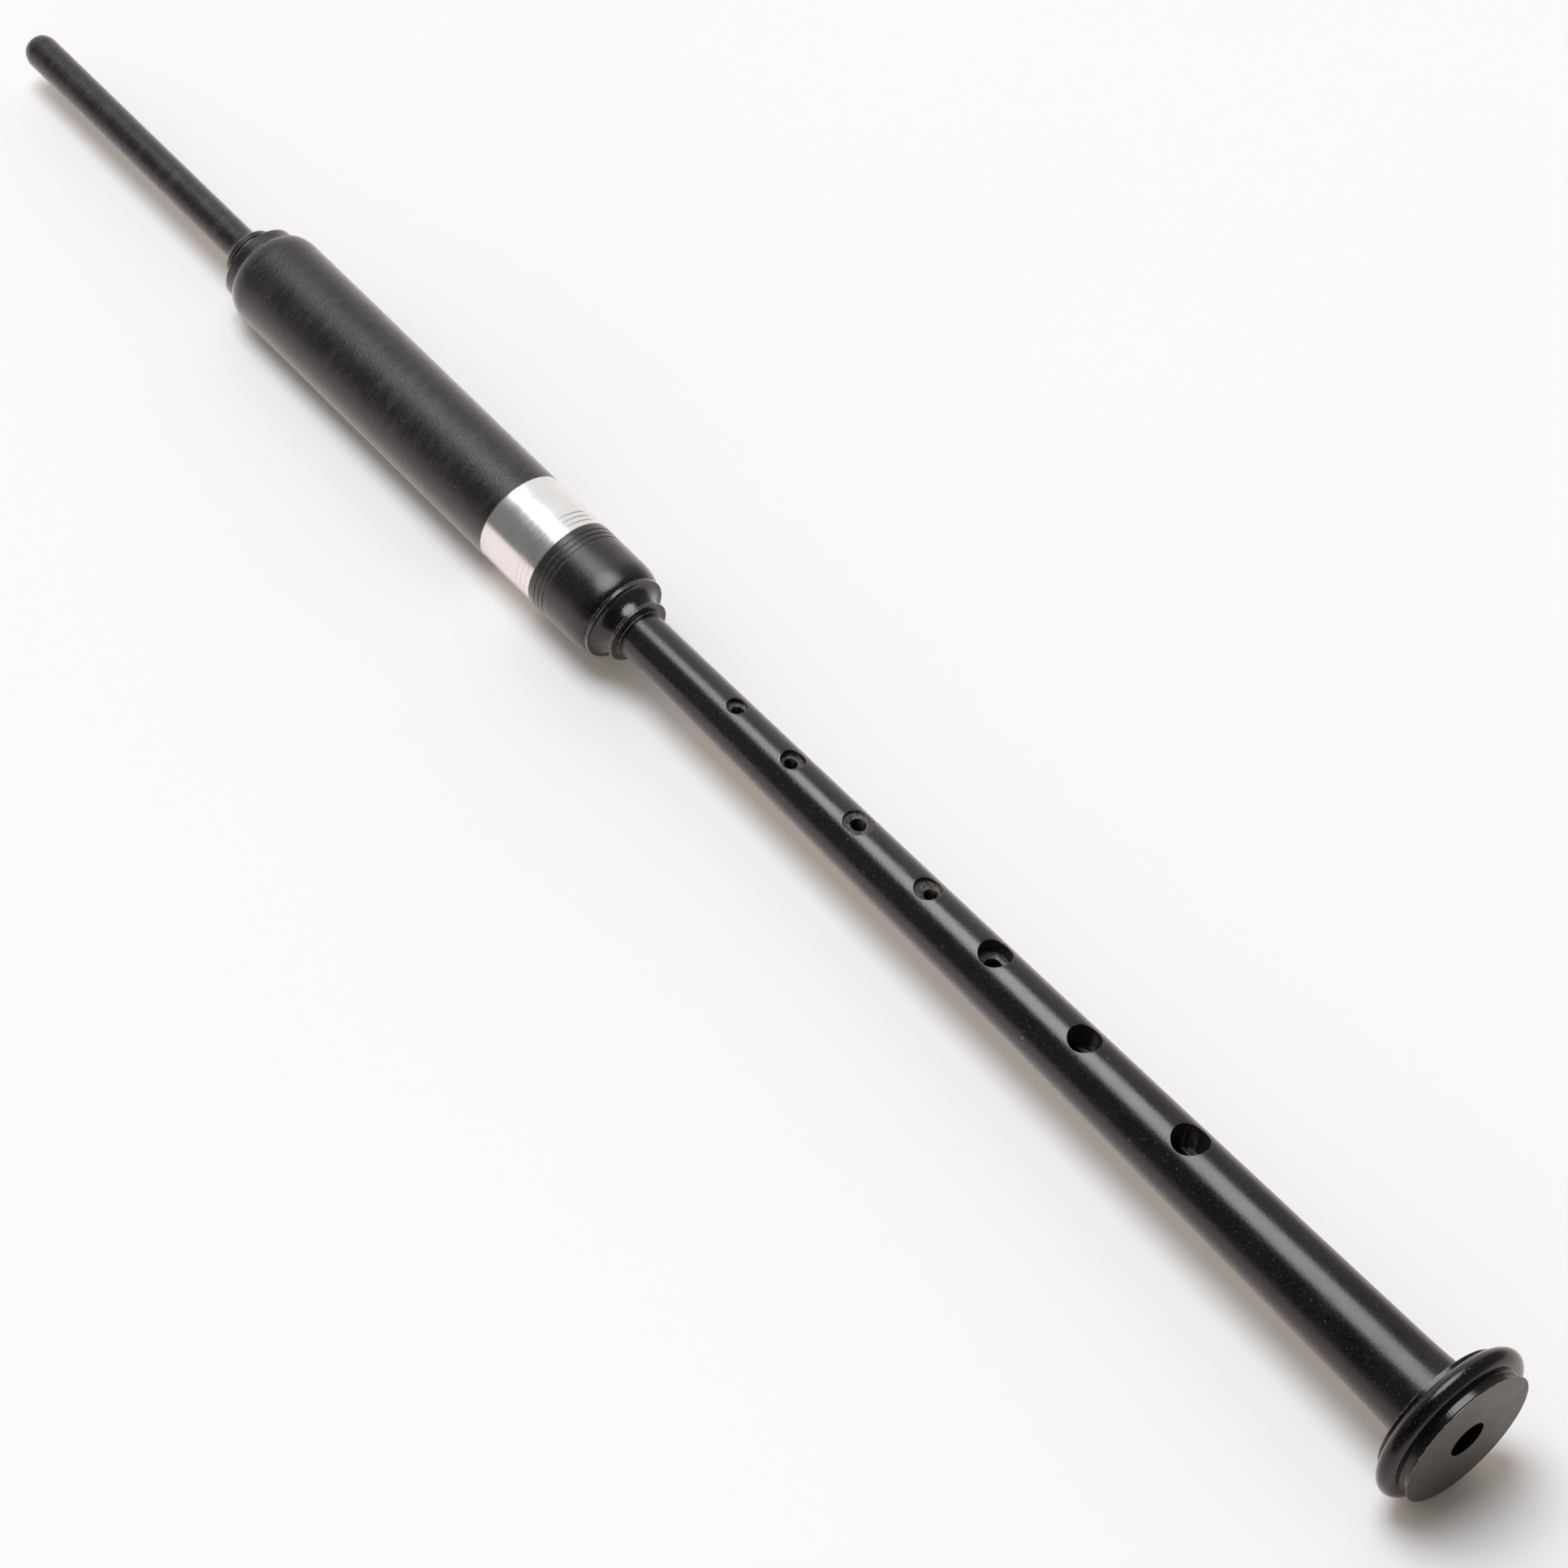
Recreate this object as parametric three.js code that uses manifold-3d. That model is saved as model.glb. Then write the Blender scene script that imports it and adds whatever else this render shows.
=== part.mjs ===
// A turned practice chanter for bagpipe fingering: a long mouthpiece, a plain top section with a
// metal ferrule, a bulb with its conical stem and finger holes, a beaded sole, and the reed inside.
// It lies along X with the mouthpiece at -X, the sole at +X and the finger holes facing +Z.
// The origin is under the middle of its length, on the surface that the sole's bead touches.
import * as THREE from "three";
import { mergeVertices } from "three/addons/utils/BufferGeometryUtils.js";
import Module from "manifold-3d";

const wasm = await Module();
wasm.setup();

// Driving dimensions in millimetres

// Rod that the top section, the ferrule and the bulb are turned from
const rodDiameter = 25.4;

// Clearances
const seamGap = 0.1;
const seatGap = 0.3;
const socketClearance = 0.3;
const windingClearance = 0.15;
const coreClearance = 0.1;
const cutOverrun = 1;

// Mouthpiece
const mouthpieceBore = 4;
const tipFaceDiameter = 4.6;
const lipDiameter = 8.84;
const lipLength = 4;
const tubeLength = 83.6;
const tubeRootDiameter = 9.04;
const flareLength = 3.3;
const flareDiameter = 13.2;
const ringWidth = 1.2;
const ringDiameter = 14;
const neckCoveLength = 3.17;
const neckCoveDiameter = 12.8;
const collarInset = 0.07;
const collarWidth = 2.86;
const collarEdge = 0.15;
const mouthpieceTenonLength = 16;
const collarGap = 0.4;

// Top section
const sleeveLength = 101.1;
const sleeveShoulderLength = 5.5;
const sleeveShoulderDrop = 2.2;
const mouthpieceSocketWall = 5.8;
const reedChamberWall = 5.1;
const spigotWall = 2.6;

// Ferrule
const ferruleLength = 18.5;
const ferruleWall = 1.2;
const ferruleEdge = 0.15;

// Engraved lines on the ferrule and on the bulb
const engravedLines = 3;
const linePitch = 1.56;
const lineWidth = 0.4;
const lineDepth = 0.2;
const ferruleLineMargin = 1.56;
const bulbLineMargin = 2.05;

// Wound tenons
const chanterTenonLength = 25;
const tenonLipLength = 2.4;
const windingDepth = 1;

// Bulb and its two flanges
const bulbStraightLength = 13.8;
const bulbRoundLength = 5.9;
const bulbRoundDrop = 1.7;
const neckGrooveWidth = 0.2;
const neckGrooveDrop = 1.9;
const largeFlangeDrop = 1.2;
const largeFlangeWidth = 0.92;
const largeFlangeRim = 0.5;
const coveLength = 4.46;
const coveFootStep = 0.62;
const smallFlangeRise = 2.32;
const smallFlangeWidth = 0.8;
const stemStepRise = 0.7;
const stemStepLength = 0.8;

// Stem
const stemLength = 273.9;
const stemTopDiameter = 12.4;
const stemFootDiameter = 20.7;
const stemStraightShare = 0.711;
const footFlareLength = 14;
const footFlareRise = 0.5;
const chanterBore = 4.8;
const footTenonDiameter = 13.4;
const footTenonLength = 4;

// Holes, placed along the stem and sized from the largest
const largestHoleDiameter = 9.3;
const fingerHoleShares = [
  { place: 0.1256, mouth: 0.543, inner: 0.59, depth: 0.32, offset: 0.12 },
  { place: 0.2001, mouth: 0.656, inner: 0.51, depth: 0.33, offset: -0.066 },
  { place: 0.2859, mouth: 0.823, inner: 0.5, depth: 0.144, offset: 0 },
  { place: 0.3753, mouth: 0.742, inner: 0.52, depth: 0.2, offset: 0.2 },
  { place: 0.4611, mouth: 0.892, inner: 0.51, depth: 0.54, offset: 0.036 },
  { place: 0.5725, mouth: 0.898 },
  { place: 0.7014, mouth: 1 },
];
const thumbHoleShares = { place: 0.0763, mouth: 0.6 };

// Sole
const soleMouthDiameter = 9.8;
const soleBackDrop = 3.6;
const soleBackWidth = 1.3;
const beadDiameter = 42.6;
const beadWidth = 5.6;
const beadCrownShare = 0.518;
const beadFootDrop = 3.3;
const soleCoveDrop = 3.9;
const soleCoveEntry = 0.6;
const soleCoveFlat = 1.3;
const soleCoveFlare = 0.7;
const rimDrop = 3;
const rimWidth = 0.2;
const rimEdge = 0.1;

// Reed
const stapleDiameter = 4.6;
const stapleWall = 0.5;
const reedSeatDepth = 12;
const seatThreadLength = 10.5;
const seatThreadDepth = 0.75;
const bladeLength = 47;
const bladeTipWidth = 9.6;
const bladeRootWall = 0.65;
const bladeTipWall = 0.35;
const bladeTipOpening = 0.8;
const bladeEdgeGap = 0.1;
const bladeFootRise = 2.7;
const bindingLength = 9.5;
const bindingDepth = 0.65;
const bridlePlaceShare = 0.42;
const bridleWidth = 1.8;
const bridleDepth = 1;
const bridleTravel = 2;

// Facets and steps of the round shapes
const facets = 32;
const holeFacets = 20;
const reedFacets = 16;
const arcSteps = 4;
const stemSteps = 9;
const bladeSteps = 6;
const bladeArcSteps = 8;

// Places along the axis, counted from the mouthpiece's tip

const tubeEnd = lipLength + tubeLength;
const flareEnd = tubeEnd + flareLength;
const ringEnd = flareEnd + ringWidth;
const collarBack = ringEnd + neckCoveLength;
const collarFront = collarBack + collarWidth;
const mouthpieceTenonEnd = collarFront + mouthpieceTenonLength;

const sleeveStart = collarFront + collarGap;
const ferruleSeat = sleeveStart + sleeveLength;
const ferruleStart = ferruleSeat + seamGap;
const ferruleEnd = ferruleStart + ferruleLength;

const bulbStart = ferruleEnd + seamGap;
const chanterTenonEnd = bulbStart - chanterTenonLength;
const bulbRoundStart = bulbStart + bulbStraightLength;
const bulbEnd = bulbRoundStart + bulbRoundLength;
const largeFlangeStart = bulbEnd + neckGrooveWidth;
const largeFlangeEnd = largeFlangeStart + largeFlangeWidth;
const smallFlangeStart = largeFlangeEnd + coveLength;
const smallFlangeEnd = smallFlangeStart + smallFlangeWidth;
const stemStart = smallFlangeEnd + stemStepLength;
const stemEnd = stemStart + stemLength;
const footTenonEnd = stemEnd + footTenonLength;

const soleStart = stemEnd + seatGap;
const beadStart = soleStart + soleBackWidth;
const beadCrown = beadStart + beadWidth * beadCrownShare;
const beadEnd = beadStart + beadWidth;
const coveFlatStart = beadEnd + soleCoveEntry;
const coveFlatEnd = coveFlatStart + soleCoveFlat;
const rimStart = coveFlatEnd + soleCoveFlare;
const soleEnd = rimStart + rimWidth;
const soleRecessEnd = footTenonEnd + seatGap;

const reedSeatFloor = chanterTenonEnd + reedSeatDepth;
const stapleFoot = reedSeatFloor - seatGap;
const bladeRoot = chanterTenonEnd - bladeFootRise;
const bindingEnd = bladeRoot - bindingLength;

// Radii of the pieces that share the rod
const rodRadius = rodDiameter / 2;
const sleeveFaceRadius = rodRadius - sleeveShoulderDrop;
const collarRadius = sleeveFaceRadius - collarInset;
const mouthpieceSocketRadius = rodRadius - mouthpieceSocketWall;
const reedChamberRadius = rodRadius - reedChamberWall;
const spigotRadius = rodRadius - ferruleWall - coreClearance;
const tenonSocketRadius = spigotRadius - spigotWall;
const bulbFaceRadius = rodRadius - bulbRoundDrop;
const neckGrooveRadius = rodRadius - neckGrooveDrop;
const largeFlangeRadius = rodRadius - largeFlangeDrop;

// Radii at the stem's top and on the sole
const stemTopRadius = stemTopDiameter / 2;
const stemFootRadius = stemFootDiameter / 2;
const stemStepRadius = stemTopRadius + stemStepRise;
const smallFlangeRadius = stemTopRadius + smallFlangeRise;
const coveFootRadius = smallFlangeRadius - coveFootStep;
const beadRadius = beadDiameter / 2;
const soleBackRadius = beadRadius - soleBackDrop;
const beadFootRadius = beadRadius - beadFootDrop;
const soleCoveRadius = beadRadius - soleCoveDrop;
const rimRadius = beadRadius - rimDrop;
const footTenonRadius = footTenonDiameter / 2;

// Reed radii, each from the one inside it
const stapleRadius = stapleDiameter / 2;
const seatThreadRadius = stapleRadius + coreClearance + seatThreadDepth;
const reedSeatRadius = seatThreadRadius + windingClearance;
const bladeRootRadius = stapleRadius + windingClearance + bladeRootWall;
const bindingInnerRadius = bladeRootRadius + windingClearance;

// Outlines, as lists of [place along the axis, radius]

// A quarter of an ellipse that leaves its first point across the axis and ends along it.
function steepThenLevel([startPlace, startRadius], [endPlace, endRadius]) {
  return Array.from({ length: arcSteps + 1 }, (_, step) => {
    const angle = (step / arcSteps) * (Math.PI / 2);
    return [
      startPlace + (endPlace - startPlace) * (1 - Math.cos(angle)),
      startRadius + (endRadius - startRadius) * Math.sin(angle),
    ];
  });
}

// The same quarter run the other way: it leaves along the axis and ends across it.
function levelThenSteep(start, end) {
  return steepThenLevel(end, start).reverse();
}

// The points of the engraved lines, each a small V, from the first line's middle onwards.
function engraved(firstLine, radius) {
  return Array.from({ length: engravedLines }, (_, line) => {
    const middle = firstLine + line * linePitch;
    return [
      [middle - lineWidth / 2, radius],
      [middle, radius - lineDepth],
      [middle + lineWidth / 2, radius],
    ];
  }).flat();
}

// A wound tenon's sizes: it fits a socket and keeps a recess for its winding between two lips.
function woundTenon(shoulder, end, socketRadius) {
  const direction = Math.sign(end - shoulder);
  const lipRadius = socketRadius - socketClearance;
  const recessRadius = lipRadius - windingDepth;
  const recessStart = shoulder + direction * tenonLipLength;
  const recessEnd = end - direction * tenonLipLength;
  return {
    outline: [
      [shoulder, lipRadius],
      [recessStart, lipRadius],
      [recessStart, recessRadius],
      [recessEnd, recessRadius],
      [recessEnd, lipRadius],
      [end, lipRadius],
    ],
    winding: ring(
      Math.min(recessStart, recessEnd) + seatGap,
      Math.max(recessStart, recessEnd) - seatGap,
      recessRadius + coreClearance,
      socketRadius - windingClearance,
      facets,
    ),
  };
}

// The stem swells from the bulb to the foot, a little faster towards the end.
function stemRadius(place) {
  const along = (place - stemStart) / stemLength;
  const swell = stemStraightShare * along + (1 - stemStraightShare) * along ** 2;
  const flareAlong = Math.max(0, (place - (stemEnd - footFlareLength)) / footFlareLength);
  const plain = stemTopRadius + (stemFootRadius - stemTopRadius) * swell;
  return plain + footFlareRise * flareAlong ** 2;
}

// Solids

// A body turned about the X axis from a closed outline. A flat of it faces straight down.
function turned(outline, sides = facets) {
  const closed = [...outline, outline[0]];
  const points = closed.map(([place, radius]) => new THREE.Vector2(radius, place));
  return new THREE.LatheGeometry(points, sides, Math.PI / sides).rotateZ(-Math.PI / 2);
}

function ring(start, end, innerRadius, outerRadius, sides) {
  const outline = [
    [start, innerRadius],
    [start, outerRadius],
    [end, outerRadius],
    [end, innerRadius],
  ];
  return turned(outline, sides);
}

function toSolid(geometry) {
  const bare = geometry.clone();
  bare.deleteAttribute("normal");
  bare.deleteAttribute("uv");
  const merged = mergeVertices(bare);
  const mesh = new wasm.Mesh({
    numProp: 3,
    vertProperties: merged.attributes.position.array,
    triVerts: new Uint32Array(merged.index.array),
  });
  return new wasm.Manifold(mesh);
}

function toGeometry(solid) {
  const { vertProperties, triVerts } = solid.getMesh();
  const geometry = new THREE.BufferGeometry();
  geometry.setAttribute("position", new THREE.BufferAttribute(vertProperties, 3));
  geometry.setIndex(new THREE.BufferAttribute(triVerts, 1));
  geometry.computeVertexNormals();
  return geometry;
}

// A round cutter that stands on the axis side of the stem, from one height to another.
function uprightCutter(place, diameter, bottom, top) {
  const radius = diameter / 2;
  const cutter = new THREE.CylinderGeometry(radius, radius, top - bottom, holeFacets);
  return toSolid(cutter.rotateX(Math.PI / 2).translate(place, 0, (top + bottom) / 2));
}

// One finger hole: a mouth down to its floor, with a narrower hole through the floor to the bore.
function fingerHoleCutter({ place, mouth, inner, depth, offset }) {
  const middle = stemStart + place * stemLength;
  const mouthDiameter = mouth * largestHoleDiameter;
  const surface = stemRadius(middle);
  if (inner === undefined) return uprightCutter(middle, mouthDiameter, 0, surface + cutOverrun);
  const floor = surface - depth * mouthDiameter;
  const wide = uprightCutter(middle, mouthDiameter, floor, surface + cutOverrun);
  const innerPlace = middle + offset * mouthDiameter;
  return wide.add(uprightCutter(innerPlace, inner * mouthDiameter, 0, surface));
}

function thumbHoleCutter({ place, mouth }) {
  const middle = stemStart + place * stemLength;
  const bottom = -(stemRadius(middle) + cutOverrun);
  return uprightCutter(middle, mouth * largestHoleDiameter, bottom, 0);
}

// Mouthpiece

const mouthpieceTenon = woundTenon(collarFront, mouthpieceTenonEnd, mouthpieceSocketRadius);

function mouthpieceGeometry() {
  const boreRadius = mouthpieceBore / 2;
  const neckMiddle = [ringEnd + neckCoveLength / 2, neckCoveDiameter / 2];
  return turned([
    [0, boreRadius],
    ...steepThenLevel([0, tipFaceDiameter / 2], [lipLength, lipDiameter / 2]),
    ...levelThenSteep([tubeEnd, tubeRootDiameter / 2], [flareEnd, flareDiameter / 2]),
    [flareEnd, ringDiameter / 2],
    ...steepThenLevel([ringEnd, ringDiameter / 2], neckMiddle),
    ...levelThenSteep(neckMiddle, [collarBack, ringDiameter / 2]).slice(1),
    [collarBack, collarRadius - collarEdge],
    [collarBack + collarEdge, collarRadius],
    [collarFront - collarEdge, collarRadius],
    [collarFront, collarRadius - collarEdge],
    ...mouthpieceTenon.outline,
    [mouthpieceTenonEnd, boreRadius],
  ]);
}

// Top section

function topSectionGeometry() {
  const shoulderEnd = sleeveStart + sleeveShoulderLength;
  const spigotEnd = ferruleEnd - seatGap;
  const tenonSocketFloor = chanterTenonEnd - seatGap;
  const mouthpieceSocketEnd = mouthpieceTenonEnd + seatGap;
  return turned([
    [sleeveStart, mouthpieceSocketRadius],
    ...steepThenLevel([sleeveStart, sleeveFaceRadius], [shoulderEnd, rodRadius]),
    [ferruleSeat, rodRadius],
    [ferruleSeat, spigotRadius],
    [spigotEnd, spigotRadius],
    [spigotEnd, tenonSocketRadius],
    [tenonSocketFloor, tenonSocketRadius],
    [tenonSocketFloor, reedChamberRadius],
    [mouthpieceSocketEnd, reedChamberRadius],
    [mouthpieceSocketEnd, mouthpieceSocketRadius],
  ]);
}

// Ferrule

function ferruleGeometry() {
  const innerRadius = rodRadius - ferruleWall;
  const firstLine = ferruleEnd - ferruleLineMargin - (engravedLines - 1) * linePitch;
  return turned([
    [ferruleStart, innerRadius],
    [ferruleStart, rodRadius - ferruleEdge],
    [ferruleStart + ferruleEdge, rodRadius],
    ...engraved(firstLine, rodRadius),
    [ferruleEnd - ferruleEdge, rodRadius],
    [ferruleEnd, rodRadius - ferruleEdge],
    [ferruleEnd, innerRadius],
  ]);
}

// Chanter body: tenon, bulb, flanges and stem in one piece

const chanterTenon = woundTenon(bulbStart, chanterTenonEnd, tenonSocketRadius);

function bulbOutline() {
  const grooveMiddle = bulbEnd + neckGrooveWidth / 2;
  const coveTop = [largeFlangeEnd, largeFlangeRadius - largeFlangeRim];
  return [
    [bulbStart, rodRadius],
    ...engraved(bulbStart + bulbLineMargin, rodRadius),
    ...levelThenSteep([bulbRoundStart, rodRadius], [bulbEnd, bulbFaceRadius]),
    [grooveMiddle, neckGrooveRadius],
    [largeFlangeStart, neckGrooveRadius],
    [largeFlangeStart, largeFlangeRadius],
    [largeFlangeEnd, largeFlangeRadius],
    ...steepThenLevel(coveTop, [smallFlangeStart, coveFootRadius]),
    [smallFlangeStart, smallFlangeRadius],
    [smallFlangeEnd, smallFlangeRadius],
    [smallFlangeEnd, stemStepRadius],
    [stemStart, stemStepRadius],
  ];
}

function stemOutline() {
  return Array.from({ length: stemSteps + 1 }, (_, step) => {
    const place = stemStart + (stemLength * step) / stemSteps;
    return [place, stemRadius(place)];
  });
}

function chanterBodyGeometry() {
  const blank = turned([
    [chanterTenonEnd, reedSeatRadius],
    ...chanterTenon.outline.toReversed(),
    ...bulbOutline(),
    ...stemOutline(),
    [stemEnd, footTenonRadius],
    [footTenonEnd, footTenonRadius],
    [footTenonEnd, chanterBore / 2],
    [reedSeatFloor, chanterBore / 2],
    [reedSeatFloor, reedSeatRadius],
  ]);
  const cutters = [...fingerHoleShares.map(fingerHoleCutter), thumbHoleCutter(thumbHoleShares)];
  return toGeometry(cutters.reduce((body, cutter) => body.subtract(cutter), toSolid(blank)));
}

// Sole

function soleGeometry() {
  const recessRadius = footTenonRadius + socketClearance;
  const mouthRadius = soleMouthDiameter / 2;
  return turned([
    [soleStart, recessRadius],
    [soleStart, soleBackRadius],
    ...steepThenLevel([beadStart, soleBackRadius], [beadCrown, beadRadius]),
    ...levelThenSteep([beadCrown, beadRadius], [beadEnd, beadFootRadius]).slice(1),
    ...steepThenLevel([beadEnd, beadFootRadius], [coveFlatStart, soleCoveRadius]).slice(1),
    ...levelThenSteep([coveFlatEnd, soleCoveRadius], [rimStart, rimRadius]),
    [soleEnd - rimEdge, rimRadius],
    [soleEnd, rimRadius - rimEdge],
    [soleEnd, mouthRadius],
    [soleRecessEnd, mouthRadius],
    [soleRecessEnd, recessRadius],
  ]);
}

// Reed

// Half width, height and wall of the blades at a share of their length from root to tip.
function bladeSection(along) {
  const boundShare = bindingLength / bladeLength;
  const spread = Math.max(0, (along - boundShare) / (1 - boundShare));
  const blend = (root, tip) => root + (tip - root) * spread;
  return {
    halfWidth: blend(bladeRootRadius, bladeTipWidth / 2),
    height: blend(bladeRootRadius, bladeTipOpening / 2 + bladeTipWall),
    wall: blend(bladeRootWall, bladeTipWall),
  };
}

// A closed shell between an outer and an inner grid of points, both counted the same way.
function shell(outer, inner) {
  const rows = outer.length;
  const columns = outer[0].length;
  const positions = [...outer.flat(), ...inner.flat()].flatMap((point) => point.toArray());
  const top = (row, column) => row * columns + column;
  const under = (row, column) => rows * columns + top(row, column);
  const index = [];
  const quad = (a, b, c, d) => index.push(a, b, c, a, c, d);
  for (let row = 0; row < rows - 1; row++) {
    for (let column = 0; column < columns - 1; column++) {
      const [nextRow, nextColumn] = [row + 1, column + 1];
      quad(top(row, column), top(nextRow, column), top(nextRow, nextColumn), top(row, nextColumn));
      quad(
        under(row, column),
        under(row, nextColumn),
        under(nextRow, nextColumn),
        under(nextRow, column),
      );
    }
    const last = columns - 1;
    quad(top(row, 0), under(row, 0), under(row + 1, 0), top(row + 1, 0));
    quad(top(row, last), top(row + 1, last), under(row + 1, last), under(row, last));
  }
  for (let column = 0; column < columns - 1; column++) {
    const end = rows - 1;
    quad(top(0, column), top(0, column + 1), under(0, column + 1), under(0, column));
    quad(top(end, column), under(end, column), under(end, column + 1), top(end, column + 1));
  }
  const geometry = new THREE.BufferGeometry();
  geometry.setAttribute("position", new THREE.Float32BufferAttribute(positions, 3));
  geometry.setIndex(index);
  geometry.computeVertexNormals();
  return geometry;
}

// The upper blade: half a tube round the staple that flattens and widens to the tip.
function bladeGeometry() {
  const rows = Array.from({ length: bladeSteps + 1 }, (_, step) => {
    const along = step / bladeSteps;
    const place = bladeRoot - along * bladeLength;
    const { halfWidth, height, wall } = bladeSection(along);
    const arc = (across, up) =>
      Array.from({ length: bladeArcSteps + 1 }, (_, part) => {
        const angle = (Math.PI * part) / bladeArcSteps;
        const rise = bladeEdgeGap / 2 + up * Math.sin(angle);
        return new THREE.Vector3(place, across * Math.cos(angle), rise);
      });
    return { outer: arc(halfWidth, height), inner: arc(halfWidth - wall, height - wall) };
  });
  return shell(
    rows.map((row) => row.outer),
    rows.map((row) => row.inner),
  );
}

// The bridle is an oval band, wide enough for the blades over all of its travel.
function bridleGeometry() {
  const place = bladeRoot - bridlePlaceShare * bladeLength;
  const travelShare = (bridleTravel + bridleWidth) / bladeLength;
  const clearance = bladeEdgeGap + windingClearance;
  const across = bladeSection(bridlePlaceShare + travelShare).halfWidth + clearance;
  const up = bladeSection(bridlePlaceShare - travelShare).height + clearance;
  const band = new THREE.Shape().absellipse(0, 0, across + bridleDepth, up + bridleDepth, 0, 2 * Math.PI);
  band.holes.push(new THREE.Path().absellipse(0, 0, across, up, 0, 2 * Math.PI, true));
  const oval = new THREE.ExtrudeGeometry(band, {
    depth: bridleWidth,
    bevelEnabled: false,
    curveSegments: reedFacets,
  });
  const alongX = new THREE.Matrix4().makeBasis(
    new THREE.Vector3(0, 1, 0),
    new THREE.Vector3(0, 0, 1),
    new THREE.Vector3(1, 0, 0),
  );
  return oval.applyMatrix4(alongX).translate(place - bridleWidth / 2, 0, 0);
}

// Materials

const satinBlack = () => new THREE.MeshStandardMaterial({ color: 0x1b1b1c, roughness: 0.42 });
const polishedBlack = () => new THREE.MeshStandardMaterial({ color: 0x131314, roughness: 0.22 });
const polishedMetal = () =>
  new THREE.MeshStandardMaterial({ color: 0xd6d4cf, roughness: 0.18, metalness: 1 });
const waxedThread = () => new THREE.MeshStandardMaterial({ color: 0xb98f4e, roughness: 0.85 });
const brass = () =>
  new THREE.MeshStandardMaterial({ color: 0xc69a4a, roughness: 0.3, metalness: 1 });
const cane = () => new THREE.MeshStandardMaterial({ color: 0xd9bf83, roughness: 0.6 });
const rubber = () => new THREE.MeshStandardMaterial({ color: 0x2a2a2a, roughness: 0.8 });

// Assembly

function piece(name, geometry, material) {
  const mesh = new THREE.Mesh(geometry, material);
  mesh.name = name;
  return mesh;
}

function group(...children) {
  const holder = new THREE.Group();
  holder.add(...children);
  return holder;
}

const mouthpiece = group(
  piece("mouthpiece", mouthpieceGeometry(), satinBlack()),
  piece("mouthpiece_winding", mouthpieceTenon.winding, waxedThread()),
);

const topSection = group(
  piece("top_section", topSectionGeometry(), satinBlack()),
  piece("ferrule", ferruleGeometry(), polishedMetal()),
);

const reedSeatThread = ring(
  stapleFoot - seatThreadLength,
  stapleFoot,
  stapleRadius + coreClearance,
  seatThreadRadius,
  reedFacets,
);
const staple = ring(bindingEnd, stapleFoot, stapleRadius - stapleWall, stapleRadius, reedFacets);
const binding = ring(
  bindingEnd,
  bladeRoot,
  bindingInnerRadius,
  bindingInnerRadius + bindingDepth,
  reedFacets,
);
const lowerBlade = piece("reed_blade_lower", bladeGeometry(), cane());
lowerBlade.rotation.x = Math.PI;
const reed = group(
  piece("reed_staple", staple, brass()),
  piece("reed_seat_thread", reedSeatThread, waxedThread()),
  piece("reed_blade_upper", bladeGeometry(), cane()),
  lowerBlade,
  piece("reed_binding", binding, waxedThread()),
  piece("reed_bridle", bridleGeometry(), rubber()),
);

const chanter = group(
  piece("chanter_body", chanterBodyGeometry(), polishedBlack()),
  piece("tenon_winding", chanterTenon.winding, waxedThread()),
  piece("sole", soleGeometry(), polishedBlack()),
);

const practiceChanter = group(mouthpiece, topSection, reed, chanter);
practiceChanter.position.set(-soleEnd / 2, 0, beadRadius * Math.cos(Math.PI / facets));

const part = group(practiceChanter);
export default part;
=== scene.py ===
import math
from itertools import accumulate

import bmesh
import bpy
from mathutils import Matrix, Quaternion, Vector


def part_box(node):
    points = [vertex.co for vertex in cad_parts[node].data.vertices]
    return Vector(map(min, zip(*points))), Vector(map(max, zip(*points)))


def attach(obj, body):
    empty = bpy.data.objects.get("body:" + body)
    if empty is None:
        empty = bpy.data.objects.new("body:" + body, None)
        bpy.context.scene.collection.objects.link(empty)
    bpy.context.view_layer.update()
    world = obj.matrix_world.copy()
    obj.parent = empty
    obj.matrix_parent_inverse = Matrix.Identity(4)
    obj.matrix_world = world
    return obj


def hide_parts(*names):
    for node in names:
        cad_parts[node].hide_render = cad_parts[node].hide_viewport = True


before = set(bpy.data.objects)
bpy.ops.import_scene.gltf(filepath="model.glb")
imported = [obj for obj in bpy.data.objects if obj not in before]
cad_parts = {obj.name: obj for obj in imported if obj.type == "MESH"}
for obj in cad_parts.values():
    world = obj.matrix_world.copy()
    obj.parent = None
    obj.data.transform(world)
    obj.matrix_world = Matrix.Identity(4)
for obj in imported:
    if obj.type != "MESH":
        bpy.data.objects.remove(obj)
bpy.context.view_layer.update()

bl_info = {
    "name": "Practice Chanter",
    "version": (1, 0, 0),
    "blender": (4, 5, 0),
    "location": "3D View > Sidebar > Chanter",
    "description": "Turns a practice chanter with its reed and windings, and sets its studio",
    "category": "Object",
}

MM = 0.001

# Fineness of the surfaces
TURN_SEGMENTS = 192
SMALL_TURN_SEGMENTS = 96
CURVE_STEPS = 14
EASE_STEPS = 4
CUTTER_SIDES = 72
BLADE_STEPS, BLADE_ARC_STEPS = 40, 32
BRIDLE_STEPS, BRIDLE_SECTION_STEPS = 96, 20
COIL_STEPS, THREAD_SIDES = 40, 8
STEM_RING_SPACING = 1.5 * MM

# Turns from which an edge is eased, shaded sharp and worn pale; the pale edge is partly wear and
# partly a painted edge highlight
EASED_TURN = math.radians(25)
SHARP_TURN = math.radians(50)
WORN_AND_GLINT_TURN = math.radians(70)

# How far the pale edge, partly wear and partly a painted edge highlight, reaches past an eased
# edge, and the shares of a side that ease and wear may take
WEAR_AND_GLINT_REACH = 0.08 * MM
EASE_SHARE = 0.3
FADE_SHARE = 0.45

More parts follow.
